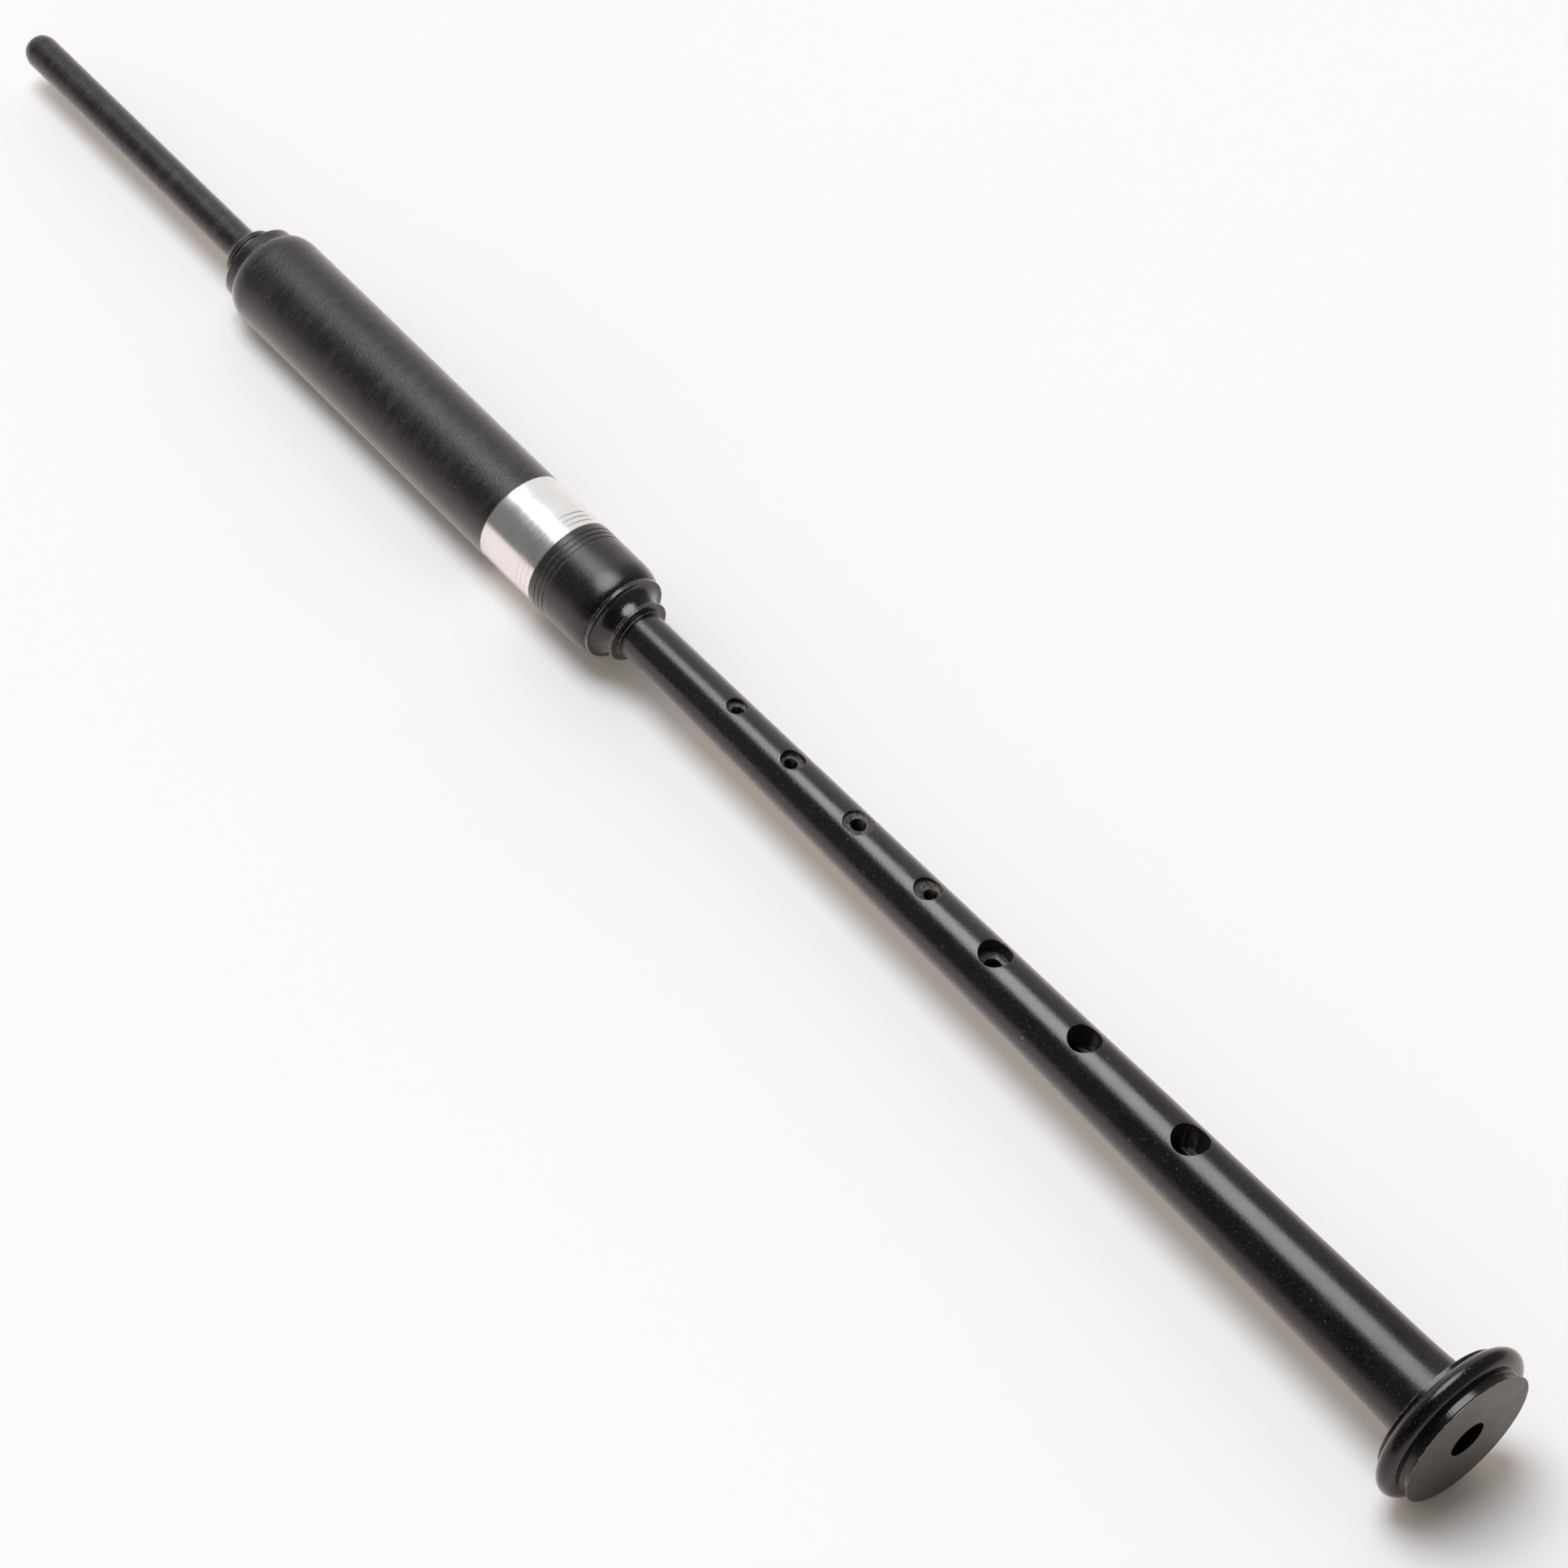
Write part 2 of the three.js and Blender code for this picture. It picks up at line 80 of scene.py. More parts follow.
# Places along the axis that the frame gives
AXIS_HEIGHT = (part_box("sole")[0].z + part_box("sole")[1].z) / 2
MOUTHPIECE_TIP, MOUTHPIECE_END = (corner.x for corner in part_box("mouthpiece"))
SLEEVE_START, SPIGOT_END = (corner.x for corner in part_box("top_section"))
FERRULE_START, FERRULE_END = (corner.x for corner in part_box("ferrule"))
TENON_END, FOOT_TENON_END = (corner.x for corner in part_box("chanter_body"))
SOLE_START, SOLE_END = (corner.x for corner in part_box("sole"))
REED_TIP, BLADE_ROOT = (corner.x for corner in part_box("reed_blade_upper"))
STAPLE_TOP, STAPLE_FOOT = (corner.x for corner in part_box("reed_staple"))

# Clearances between pieces, as in the solids
SEAM_GAP = 0.1 * MM
SEAT_GAP = 0.3 * MM
SOCKET_CLEARANCE = 0.3 * MM
WINDING_CLEARANCE = 0.15 * MM
CORE_CLEARANCE = 0.1 * MM

ENGRAVED_LINES = 3

# Stretches along the axis over which the polished black changes
BULB_DUST_END = (-0.041, -0.0395)
BULB_POLISH_END = (-0.042, -0.038)
FLANGE_DULLNESS_END = (-0.028, -0.027)
STEM_DULLING = (0.0, 0.25)
STEM_SHINE_LOSS = (0.1, 0.25)
STEM_SHEEN_LOSS = (-0.02, 0.25)

# Dust: depths below the rod where it collects, its specks and how pale a worn edge is, that
# paleness being partly a painted edge highlight.
# A kind of speck is: cells in a metre, size within a cell, share of the cells without one.
FULL_DUST_DEPTH, NO_DUST_DEPTH = 0.2 * MM, 0.05 * MM
SPECK_KINDS = ((620, 0.16, 0.86), (1500, 0.28, 0.9), (260, 0.12, 0.9))
SPECK_STRENGTH = 0.6
WORN_AND_GLINT_LEVEL = 1.7

# Table top, and its painted reflections: a warm tint standing in for warm shade, and painted dark
# in its near part, up to an edge that bends
TABLE_REACH = 6.0
PAINTED_WARM_REFLECTION = (1.0, 0.91, 0.87, 1.0)
PAINTED_DARK_REFLECTION_EDGE = (-0.145, -0.095)
PAINTED_DARK_REFLECTION_BEND = (-0.06, 0.04)
PAINTED_DARK_REFLECTION_BEND_OFFSET = -0.045
PAINTED_DARK_REFLECTION_LEVEL = 0.16

# Lights, surround and camera
KEY_DIRECTION = (0.332, 0.192, -1.0)
KEY_ANGLE = math.radians(32)
KEY_COLOUR = (0.84, 0.90, 1.0)
SOFTBOX_DIAMETER = 0.88
SOFTBOX_PLACE = (-0.165, -0.115, 1.02)
SURROUND_COLOUR = (1.0, 0.885, 0.79, 1.0)
REFLECTED_COLOUR = (1.0, 0.99, 0.98, 1.0)
BACKDROP_COLOUR = (0.985, 0.98, 0.985, 1.0)
BACKDROP_LEVEL = 0.97
SENSOR_WIDTH = 36.0
CLIP_NEAR, CLIP_FAR = 0.05, 50.0


# Properties


def length(name, description, default):
    """A size in millimetres as a length property."""
    return bpy.props.FloatProperty(
        name=name, description=description, default=default * MM, unit="LENGTH", precision=5
    )


def colour(name, description, default):
    return bpy.props.FloatVectorProperty(
        name=name, description=description, default=default, subtype="COLOR", size=3, min=0, max=1
    )


def share(name, description, default):
    return bpy.props.FloatProperty(
        name=name, description=description, default=default, subtype="FACTOR", min=0, max=1
    )


class RodSizes(bpy.types.PropertyGroup):
    """Sizes shared by the sleeve, the ferrule and the bulb."""

    diameter: length("Diameter", "Rod that the sleeve, ferrule and bulb are turned from", 25.4)
    line_pitch: length("Line pitch", "Distance between the engraved lines", 1.56)
    line_width: length("Line width", "Width of an engraved line", 0.42)
    line_depth: length("Line depth", "Depth of an engraved line", 0.28)
    edge_ease: length("Edge ease", "Rounding of the turned edges", 0.08)


class MouthpieceSizes(bpy.types.PropertyGroup):
    """The long mouthpiece with its ring, cove and collar."""

    bore: length("Bore", "Diameter of the wind channel", 4)
    tip_face: length("Tip face", "Diameter of the flat at the tip", 4.3)
    lip_diameter: length("Lip diameter", "Diameter behind the rounded lip", 8.84)
    lip_length: length("Lip length", "Length of the rounded lip", 4)
    tube_length: length("Tube length", "Tube from the lip to the flare", 83.6)
    root_diameter: length("Root diameter", "Diameter of the tube at the flare", 9.04)
    flare_length: length("Flare length", "Length of the flare", 3.3)
    flare_diameter: length("Flare diameter", "Diameter where the flare ends", 13.2)
    ring_diameter: length("Ring diameter", "Diameter of the small ring", 14)
    ring_width: length("Ring width", "Width of the small ring", 1.2)
    cove_length: length("Cove length", "Length of the cove behind the collar", 3.17)
    cove_diameter: length("Cove diameter", "Diameter at the bottom of the cove", 12.8)
    collar_inset: length("Collar inset", "Radius lost from the sleeve's face to the collar", 0.07)
    collar_width: length("Collar width", "Width of the collar", 2.86)


class TopSectionSizes(bpy.types.PropertyGroup):
    """The plain sleeve and the ferrule on its end."""

    shoulder_length: length("Shoulder length", "Length of the rounded shoulder", 5.5)
    shoulder_drop: length("Shoulder drop", "Radius lost over the shoulder", 2.2)
    ferrule_wall: length("Ferrule wall", "Wall of the metal ring", 1.2)
    ferrule_line_margin: length("Line margin", "From the ferrule's end to its last line", 1.56)
    mouthpiece_socket_wall: length("Mouthpiece socket wall", "Wall round the socket", 5.8)
    reed_chamber_wall: length("Reed chamber wall", "Wall round the reed", 5.1)
    spigot_wall: length("Spigot wall", "Wall under the ferrule", 2.6)


class BodySizes(bpy.types.PropertyGroup):
    """Tenon, bulb, flanges and stem."""

    tenon_lip: length("Tenon lip", "Length of the tenon's lips", 2.4)
    winding_depth: length("Winding depth", "Depth of the recess for the thread", 1)
    line_margin: length("Line margin", "From the bulb's end to its first line", 2.05)
    bulb_straight: length("Bulb length", "Straight part of the bulb", 13.8)
    bulb_round: length("Bulb round", "Length of the bulb's rounding", 5.9)
    bulb_drop: length("Bulb drop", "Radius lost over the rounding", 1.7)
    groove_width: length("Neck groove width", "Groove before the large flange", 0.2)
    groove_drop: length("Neck groove drop", "Radius lost from the rod to the groove", 1.9)
    large_flange_drop: length("Large flange drop", "Radius lost to the large flange", 1.2)
    large_flange_width: length("Large flange width", "Width of the large flange", 0.92)
    large_flange_rim: length("Large flange rim", "Flat rim before the cove", 0.5)
    cove_length: length("Cove length", "Cove between the two flanges", 4.46)
    cove_foot_step: length("Cove foot step", "Step from the small flange to the cove", 0.62)
    small_flange_rise: length("Small flange rise", "Small flange above the stem", 2.32)
    small_flange_width: length("Small flange width", "Width of the small flange", 0.8)
    stem_step_rise: length("Stem step rise", "Step above the stem", 0.7)
    stem_step_length: length("Stem step length", "Length of that step", 0.8)
    stem_top_diameter: length("Stem top", "Stem diameter below the flanges", 12.4)
    stem_foot_diameter: length("Stem foot", "Stem diameter above the sole", 20.7)
    straight_share: share("Straight share", "Share of the stem's swelling that is even", 0.711)
    foot_flare_length: length("Foot flare length", "Last stretch of the stem, which flares", 14)
    foot_flare_rise: length("Foot flare rise", "Radius added by the flare", 0.5)
    bore: length("Bore", "Diameter of the bore", 4.8)
    reed_seat_depth: length("Reed seat depth", "Depth of the reed's seat", 12)
    reed_seat_diameter: length("Reed seat diameter", "Diameter of the reed's seat", 6.6)
    foot_tenon: length("Foot tenon", "Diameter of the tenon in the sole", 13.4)
    largest_hole: length("Largest hole", "Diameter of the largest finger hole", 9.3)
    hole_edge: length("Hole edge", "Rounding of the holes' edges", 0.12)


class SoleSizes(bpy.types.PropertyGroup):
    """The beaded sole."""

    mouth: length("Mouth", "Diameter of the bore's mouth", 9.8)
    bead_diameter: length("Bead diameter", "Diameter over the bead", 42.6)
    bead_width: length("Bead width", "Width of the bead", 5.6)
    crown_share: share("Crown share", "Where the bead is largest", 0.518)
    back_width: length("Back width", "Width of the back ring", 1.3)
    back_drop: length("Back drop", "Radius lost from the bead to the back ring", 3.6)
    bead_foot_drop: length("Bead foot drop", "Radius lost over the bead's front", 3.3)
    cove_drop: length("Cove drop", "Radius lost from the bead to the cove", 3.9)
    cove_entry: length("Cove entry", "Length of the curve down into the cove", 0.6)
    cove_flat: length("Cove flat", "Length of the cove's floor", 1.3)
    cove_flare: length("Cove flare", "Length of the curve up to the rim", 0.7)
    rim_drop: length("Rim drop", "Radius lost from the bead to the rim", 3)


class ReedSizes(bpy.types.PropertyGroup):
    """Staple, blades, binding and bridle."""

    staple_diameter: length("Staple diameter", "Outer diameter of the staple", 4.6)
    staple_wall: length("Staple wall", "Wall of the staple", 0.5)
    tip_width: length("Tip width", "Width of the blades at the tip", 9.6)
    tip_opening: length("Tip opening", "Opening between the blades at the tip", 0.8)
    root_wall: length("Root wall", "Thickness of a blade at its root", 0.65)
    tip_wall: length("Tip wall", "Thickness of a blade at its tip", 0.35)
    edge_gap: length("Edge gap", "Gap between the blades' edges", 0.1)
    binding_length: length("Binding length", "Length of the binding", 9.5)
    bridle_thickness: length("Bridle thickness", "Thickness of the bridle", 0.9)
    thread_radius: length("Thread radius", "Radius of the waxed thread", 0.24)


class FinishColours(bpy.types.PropertyGroup):
    """Colours of the finishes."""

    satin_black: colour("Satin black", "Mouthpiece and sleeve", (0.0030, 0.0019, 0.0021))
    polished_black: colour("Polished black", "Bulb, stem and sole", (0.0016, 0.0006, 0.0006))
    cut_black: colour("Cut black", "Walls and floors of the holes", (0.009, 0.0075, 0.006))
    # The dust colour is also laid, paler, on sharp edges as wear and as a painted edge highlight
    dust_and_edge_glint: colour("Dust", "Dust and fine wear on the black", (0.17, 0.155, 0.14))
    metal: colour("Metal", "Ferrule", (0.90, 0.90, 0.90))
    brass: colour("Brass", "Staple", (0.78, 0.56, 0.24))
    cane: colour("Cane", "Blades", (0.66, 0.5, 0.26))
    thread: colour("Thread", "Waxed windings", (0.52, 0.33, 0.12))
    rubber: colour("Rubber", "Bridle", (0.03, 0.03, 0.03))
    floor: colour("Floor", "Table top", (0.95, 0.95, 0.95))


class StudioSettings(bpy.types.PropertyGroup):
    """Camera and light."""

    camera_place: bpy.props.FloatVectorProperty(
        name="Camera place",
        description="Where the camera stands",
        default=(0.64104, -0.74211, 1.02411),
        subtype="TRANSLATION",
        unit="LENGTH",
    )
    camera_aim: bpy.props.FloatVectorProperty(
        name="Camera aim",
        description="Point in the middle of the picture",
        default=(0.036187, -0.002079, 0.021197),
        subtype="TRANSLATION",
        unit="LENGTH",
    )
    camera_roll: bpy.props.FloatProperty(
        name="Camera roll",
        description="Turn of the camera about its own line of sight",
        default=math.radians(13.654),
        subtype="ANGLE",
        unit="ROTATION",
    )
    lens: bpy.props.FloatProperty(
        name="Lens", description="Focal length in millimetres", default=135.84, unit="CAMERA"
    )
    key_strength: bpy.props.FloatProperty(
        name="Key strength", description="Overhead light on the table", default=2.0
    )
    softbox_power: bpy.props.FloatProperty(
        name="Softbox power",
        description="Power of the light that draws the long highlight",
        default=11.4,
        unit="POWER",
    )
    surround: bpy.props.FloatProperty(
        name="Surround", description="Level of the light from all round", default=1.122
    )


class ChanterSettings(bpy.types.PropertyGroup):
    """All settings of the chanter and its studio."""

    rod: bpy.props.PointerProperty(type=RodSizes)
    mouthpiece: bpy.props.PointerProperty(type=MouthpieceSizes)
    top_section: bpy.props.PointerProperty(type=TopSectionSizes)
    body: bpy.props.PointerProperty(type=BodySizes)
    sole: bpy.props.PointerProperty(type=SoleSizes)
    reed: bpy.props.PointerProperty(type=ReedSizes)
    colours: bpy.props.PointerProperty(type=FinishColours)
    studio: bpy.props.PointerProperty(type=StudioSettings)


# Finger holes from the bulb to the sole: place along the stem, mouth and inner hole as shares of
# the largest hole, depth of the floor and offset of the inner hole as shares of the mouth
FINGER_HOLE_SHARES = (
    {"place": 0.1256, "mouth": 0.543, "inner": 0.59, "depth": 0.32, "offset": 0.12},
    {"place": 0.2001, "mouth": 0.656, "inner": 0.51, "depth": 0.33, "offset": -0.066},
    {"place": 0.2859, "mouth": 0.823, "inner": 0.5, "depth": 0.144, "offset": 0.0},
    {"place": 0.3753, "mouth": 0.742, "inner": 0.52, "depth": 0.2, "offset": 0.2},
    {"place": 0.4611, "mouth": 0.892, "inner": 0.51, "depth": 0.54, "offset": 0.036},
    {"place": 0.5725, "mouth": 0.898},
    {"place": 0.7014, "mouth": 1.0},
)
THUMB_HOLE_SHARES = {"place": 0.0763, "mouth": 0.6}


def settings():
    return bpy.context.scene.chanter


def radius_of_rod():
    return settings().rod.diameter / 2


def mouthpiece_socket_radius():
    return radius_of_rod() - settings().top_section.mouthpiece_socket_wall


def spigot_radius():
    """The radius of the sleeve's end under the ferrule."""
    return radius_of_rod() - settings().top_section.ferrule_wall - CORE_CLEARANCE


def tenon_socket_radius():
    return spigot_radius() - settings().top_section.spigot_wall


# Node trees


def add(tree, kind, inputs=None, **settings):
    """Adds a node, sets its properties, and fills or links its inputs."""
    node = tree.nodes.new(kind)
    for name, value in settings.items():
        setattr(node, name, value)
    for name, value in (inputs or {}).items():
        if isinstance(value, bpy.types.NodeSocket):
            tree.links.new(value, node.inputs[name])
        else:
            node.inputs[name].default_value = value
    return node


def emptied_tree(owner):
    """The node tree of a material or a world, without its nodes."""
    owner.use_nodes = True
    owner.node_tree.nodes.clear()
    return owner.node_tree


def object_place(tree):
    return add(tree, "ShaderNodeTexCoord").outputs["Object"]


def new_material(name):
    """An empty material, its tree, and the object's coordinates from the chanter's axis."""
    material = bpy.data.materials.new(name)
    tree = emptied_tree(material)
    to_axis = {"Vector": object_place(tree), "Location": (0, 0, -AXIS_HEIGHT)}
    return material, tree, add(tree, "ShaderNodeMapping", to_axis).outputs["Vector"]


def finish_material(tree, shader_inputs):
    shader = add(tree, "ShaderNodeBsdfPrincipled", shader_inputs)
    add(tree, "ShaderNodeOutputMaterial", {"Surface": shader.outputs["BSDF"]})


def noise(tree, vector, stretch, detail=2.0, roughness=0.5):
    """Noise whose cells are one over stretch long, in metres, along each axis."""
    scaled = add(tree, "ShaderNodeMapping", {"Vector": vector, "Scale": stretch}).outputs["Vector"]
    inputs = {"Vector": scaled, "Scale": 1.0, "Detail": detail, "Roughness": roughness}
    return add(tree, "ShaderNodeTexNoise", inputs).outputs["Fac"]


def spread(tree, value, low, high, to_low=0.0, to_high=1.0):
    """Maps low..high to to_low..to_high, held at both ends."""
    return add(
        tree,
        "ShaderNodeMapRange",
        {"Value": value, "From Min": low, "From Max": high, "To Min": to_low, "To Max": to_high},
    ).outputs["Result"]


def math_node(tree, operation, first, *others):
    """Joins the values, in their order, by one operation."""
    for other in others:
        first = add(tree, "ShaderNodeMath", {0: first, 1: other}, operation=operation).outputs[0]
    return first


def split(tree, vector):
    """The X, Y and Z of a vector."""
    return add(tree, "ShaderNodeSeparateXYZ", {"Vector": vector}).outputs


def mixed(tree, factor, first, second):
    """Mixes two colours."""
    node = add(tree, "ShaderNodeMix", data_type="RGBA")
    for index, value in ((0, factor), (6, first), (7, second)):
        if isinstance(value, bpy.types.NodeSocket):
            tree.links.new(value, node.inputs[index])
        else:
            node.inputs[index].default_value = value
    return node.outputs[2]


def specks(tree, vector, scale, size, rarity):
    """Small round specks, 1 inside and 0 outside, in a few of the cells."""
    cells = add(tree, "ShaderNodeTexVoronoi", {"Vector": vector, "Scale": scale})
    dot = spread(tree, cells.outputs["Distance"], size, size * 0.6)
    chosen = math_node(tree, "GREATER_THAN", cells.outputs["Color"], rarity)
    return math_node(tree, "MULTIPLY", dot, chosen)


def bump(tree, height, distance, normal=None):
    inputs = {"Height": height, "Distance": distance, "Strength": 1.0}
    if normal is not None:
        inputs["Normal"] = normal
    return add(tree, "ShaderNodeBump", inputs).outputs["Normal"]


def background(tree, colour, strength):
    return add(tree, "ShaderNodeBackground", {"Color": colour, "Strength": strength}).outputs[0]


def either(tree, factor, first, second):
    """The first shader where the factor is 0, the second where it is 1."""
    return add(tree, "ShaderNodeMixShader", {0: factor, 1: first, 2: second}).outputs[0]


def rgba(value, level=1.0):
    """A colour times a level, with its alpha."""
    return (*(level * part for part in value), 1.0)


def dusted_with_edge_glint(tree, place, film, black, dust_and_edge_glint):
    """Black under a film of dust, with specks, fine grain and pale edges that are partly wear and
    partly a painted edge highlight.
    """
    specked = math_node(tree, "MAXIMUM", *(specks(tree, place, *kind) for kind in SPECK_KINDS))
    dotted = math_node(tree, "MULTIPLY", specked, SPECK_STRENGTH)
    grain = spread(tree, noise(tree, place, (1900, 1900, 1900), 2, 0.7), 0.52, 0.72, 0.0, 0.13)
    marks = math_node(tree, "MAXIMUM", dotted, math_node(tree, "ADD", film, grain))
    covered = mixed(tree, marks, rgba(black), rgba(dust_and_edge_glint))
    # Pale edges: partly wear, partly a painted edge highlight
    wear_and_edge_glint = add(tree, "ShaderNodeAttribute", attribute_name="wear_and_edge_glint").outputs["Fac"]
    ragged = spread(tree, noise(tree, place, (800, 800, 800), 3, 0.7), 0.38, 0.62, 0.1, 0.9)
    worn_or_glinting = math_node(tree, "MULTIPLY", wear_and_edge_glint, ragged)
    return mixed(tree, worn_or_glinting, covered, rgba(dust_and_edge_glint, WORN_AND_GLINT_LEVEL))


def turned_finish(name, black, dust_and_edge_glint):
    """Black plastic as the tool left it: turning lines and mottled patches.

    The mouthpiece, in front of the sleeve, is a little smoother.
    """
    material, tree, place = new_material(name)
    fine_lines = noise(tree, place, (1700, 12, 12), 4, 0.65)
    coarse_lines = noise(tree, place, (520, 5, 5), 2)
    mottle = noise(tree, place, (420, 130, 130), 5, 0.7)
    grain = noise(tree, place, (1700, 1700, 1700), 3, 0.7)
    along = split(tree, place)["X"]
    single_lines = spread(tree, coarse_lines, 0.68, 0.74, 0.0, 0.14)
    film = math_node(tree, "ADD", single_lines, spread(tree, mottle, 0.48, 0.75, 0.0, 0.11))
    rough = math_node(
        tree,
        "ADD",
        spread(tree, fine_lines, 0.35, 0.65, 0.30, 0.41),
        spread(tree, mottle, 0.35, 0.65, -0.07, 0.07),
        spread(tree, along, SLEEVE_START - SEAM_GAP, SLEEVE_START, -0.05, 0.0),
    )
    normal = bump(tree, grain, 0.1 * MM, bump(tree, fine_lines, 0.03 * MM))
    finish_material(
        tree,
        {
            "Base Color": dusted_with_edge_glint(tree, place, film, black, dust_and_edge_glint),
            "Roughness": rough,
            "Specular IOR Level": 0.56,
            "Sheen Weight": 0.95,
            "Sheen Roughness": 0.35,
            "Normal": normal,
        },
    )
    return material


def buffed_finish(name, black, dust_and_edge_glint):
    """Buffed black plastic, with dust in the bulb's lines.

    It is duller on the flanges, on the sole's face and towards the stem's foot.
    """
    material, tree, place = new_material(name)
    patches = noise(tree, place, (110, 160, 160), 5, 0.7)
    grain = noise(tree, place, (1900, 1900, 1900), 3, 0.7)
    along = split(tree, place)["X"]
    outward = add(tree, "ShaderNodeMapping", {"Vector": place, "Scale": (0, 1, 1)}).outputs[0]
    from_axis = add(tree, "ShaderNodeVectorMath", {0: outward}, operation="LENGTH")
    deep, shallow = radius_of_rod() - FULL_DUST_DEPTH, radius_of_rod() - NO_DUST_DEPTH
    sunk = spread(tree, from_axis.outputs["Value"], deep, shallow, 0.9, 0.0)
    caught = math_node(tree, "MULTIPLY", sunk, spread(tree, grain, 0.35, 0.6, 0.3, 1.0))
    on_bulb = spread(tree, along, *BULB_DUST_END, 1.0, 0.0)
    settled = math_node(tree, "MULTIPLY", math_node(tree, "ADD", caught, 0.07), on_bulb)
    film = math_node(tree, "ADD", settled, spread(tree, patches, 0.45, 0.8, 0.0, 0.015))
    rough = math_node(
        tree,
        "ADD",
        spread(tree, along, *FLANGE_DULLNESS_END, 0.16, 0.0),
        spread(tree, along, *BULB_POLISH_END, -0.08, 0.0),
        spread(tree, along, *STEM_DULLING, 0.15, 0.25),
        spread(tree, along, SOLE_START - SEAM_GAP, SOLE_START, 0.0, -0.12),
        spread(tree, along, SOLE_END - SEAM_GAP, SOLE_END - 0.05 * MM, 0.0, 0.2),
        spread(tree, patches, 0.35, 0.65, -0.045, 0.045),
    )
    finish_material(
        tree,
        {
            "Base Color": dusted_with_edge_glint(tree, place, film, black, dust_and_edge_glint),
            "Roughness": rough,
            "Specular IOR Level": spread(tree, along, *STEM_SHINE_LOSS, 0.62, 0.46),
            "Sheen Weight": spread(tree, along, *STEM_SHEEN_LOSS, 0.6, 0.1),
            "Sheen Roughness": 0.35,
            "Normal": bump(tree, grain, 0.04 * MM),
        },
    )
    return material


def cut_finish(name, black, dust_and_edge_glint):
    """Drilled and cut black: rough, with dust on what faces up or down, while the walls stay dark
    as painted shade.
    """
    material, tree, place = new_material(name)
    scratches = noise(tree, place, (1100, 1100, 1100), 4, 0.7)
    patches = noise(tree, place, (1500, 1500, 1500), 3, 0.7)
    # Floors take pale dust and walls little, so the walls stay darker: partly dust, partly painted
    # shade
    upward = split(tree, add(tree, "ShaderNodeTexCoord").outputs["Normal"])["Z"]
    level = spread(tree, math_node(tree, "ABSOLUTE", upward, 0.0), 0.4, 0.9, 0.15, 1.0)
    floor_dust_and_painted_wall_shade = math_node(tree, "MULTIPLY", spread(tree, patches, 0.45, 0.65, 0.03, 0.6), level)
    rough = spread(tree, scratches, 0.3, 0.7, 0.4, 0.65)
    finish_material(
        tree,
        {
            "Base Color": dusted_with_edge_glint(tree, place, floor_dust_and_painted_wall_shade, black, dust_and_edge_glint),
            "Roughness": rough,
            "Specular IOR Level": 0.5,
            "Normal": bump(tree, scratches, 0.08 * MM),
        },
    )
    return material


def metal_finish(name, metal):
    """Polished metal with fine turning lines and faint cloudy patches."""
    material, tree, place = new_material(name)
    fine_lines = noise(tree, place, (5200, 26, 26), 3)
    streaks = noise(tree, place, (900, 12, 12), 2)
    clouds = noise(tree, place, (160, 160, 160), 3)
    base = mixed(tree, spread(tree, clouds, 0.3, 0.7), rgba(metal, 0.93), rgba(metal))
    rough_lines = spread(tree, streaks, 0.3, 0.7, 0.15, 0.24)
    rough = math_node(tree, "ADD", rough_lines, spread(tree, clouds, 0.3, 0.7, -0.03, 0.04))
    normal = bump(tree, fine_lines, 0.0012 * MM)
    finish_material(
        tree, {"Base Color": base, "Metallic": 1.0, "Roughness": rough, "Normal": normal}
    )
    return material


def brass_finish(name, brass):
    """Drawn brass tube with long draw marks."""
    material, tree, place = new_material(name)
    draw_marks = noise(tree, place, (60, 2600, 2600), 3)
    tarnish = noise(tree, place, (300, 300, 300), 3)
    base = mixed(tree, spread(tree, tarnish, 0.35, 0.75), rgba(brass), rgba(brass, 0.6))
    rough = spread(tree, draw_marks, 0.3, 0.7, 0.22, 0.4)
    finish_material(
        tree,
        {
            "Base Color": base,
            "Metallic": 1.0,
            "Roughness": rough,
            "Normal": bump(tree, draw_marks, 0.004 * MM),
        },
    )
    return material


def cane_finish(name, cane):
    """Scraped cane with fibres along the blade."""
    material, tree, place = new_material(name)
    fibres = noise(tree, place, (45, 3800, 3800), 4, 0.6)
    flecks = noise(tree, place, (260, 1500, 1500), 3)
    tone = mixed(tree, spread(tree, fibres, 0.3, 0.7), rgba(cane), rgba(cane, 0.62))
    base = mixed(tree, spread(tree, flecks, 0.62, 0.72, 0.0, 0.5), tone, rgba(cane, 0.4))
    finish_material(
        tree,
        {
            "Base Color": base,
            "Roughness": spread(tree, fibres, 0.3, 0.7, 0.45, 0.65),
            "Normal": bump(tree, fibres, 0.02 * MM),
        },
    )
    return material


def thread_finish(name, thread):
    """Waxed thread: twisted fibres with darker wax in places."""
    material, tree, place = new_material(name)
    twist = noise(tree, place, (2600, 1400, 1400), 3)
    wax = noise(tree, place, (380, 380, 380), 3)
    tone = mixed(tree, spread(tree, twist, 0.3, 0.7), rgba(thread), rgba(thread, 0.5))
    base = mixed(tree, spread(tree, wax, 0.5, 0.75, 0.0, 0.7), tone, rgba(thread, 0.3))
    finish_material(
        tree,
        {
            "Base Color": base,
            "Roughness": spread(tree, wax, 0.35, 0.7, 0.75, 0.42),
            "Sheen Weight": 0.2,
            "Normal": bump(tree, twist, 0.05 * MM),
        },
    )
    return material


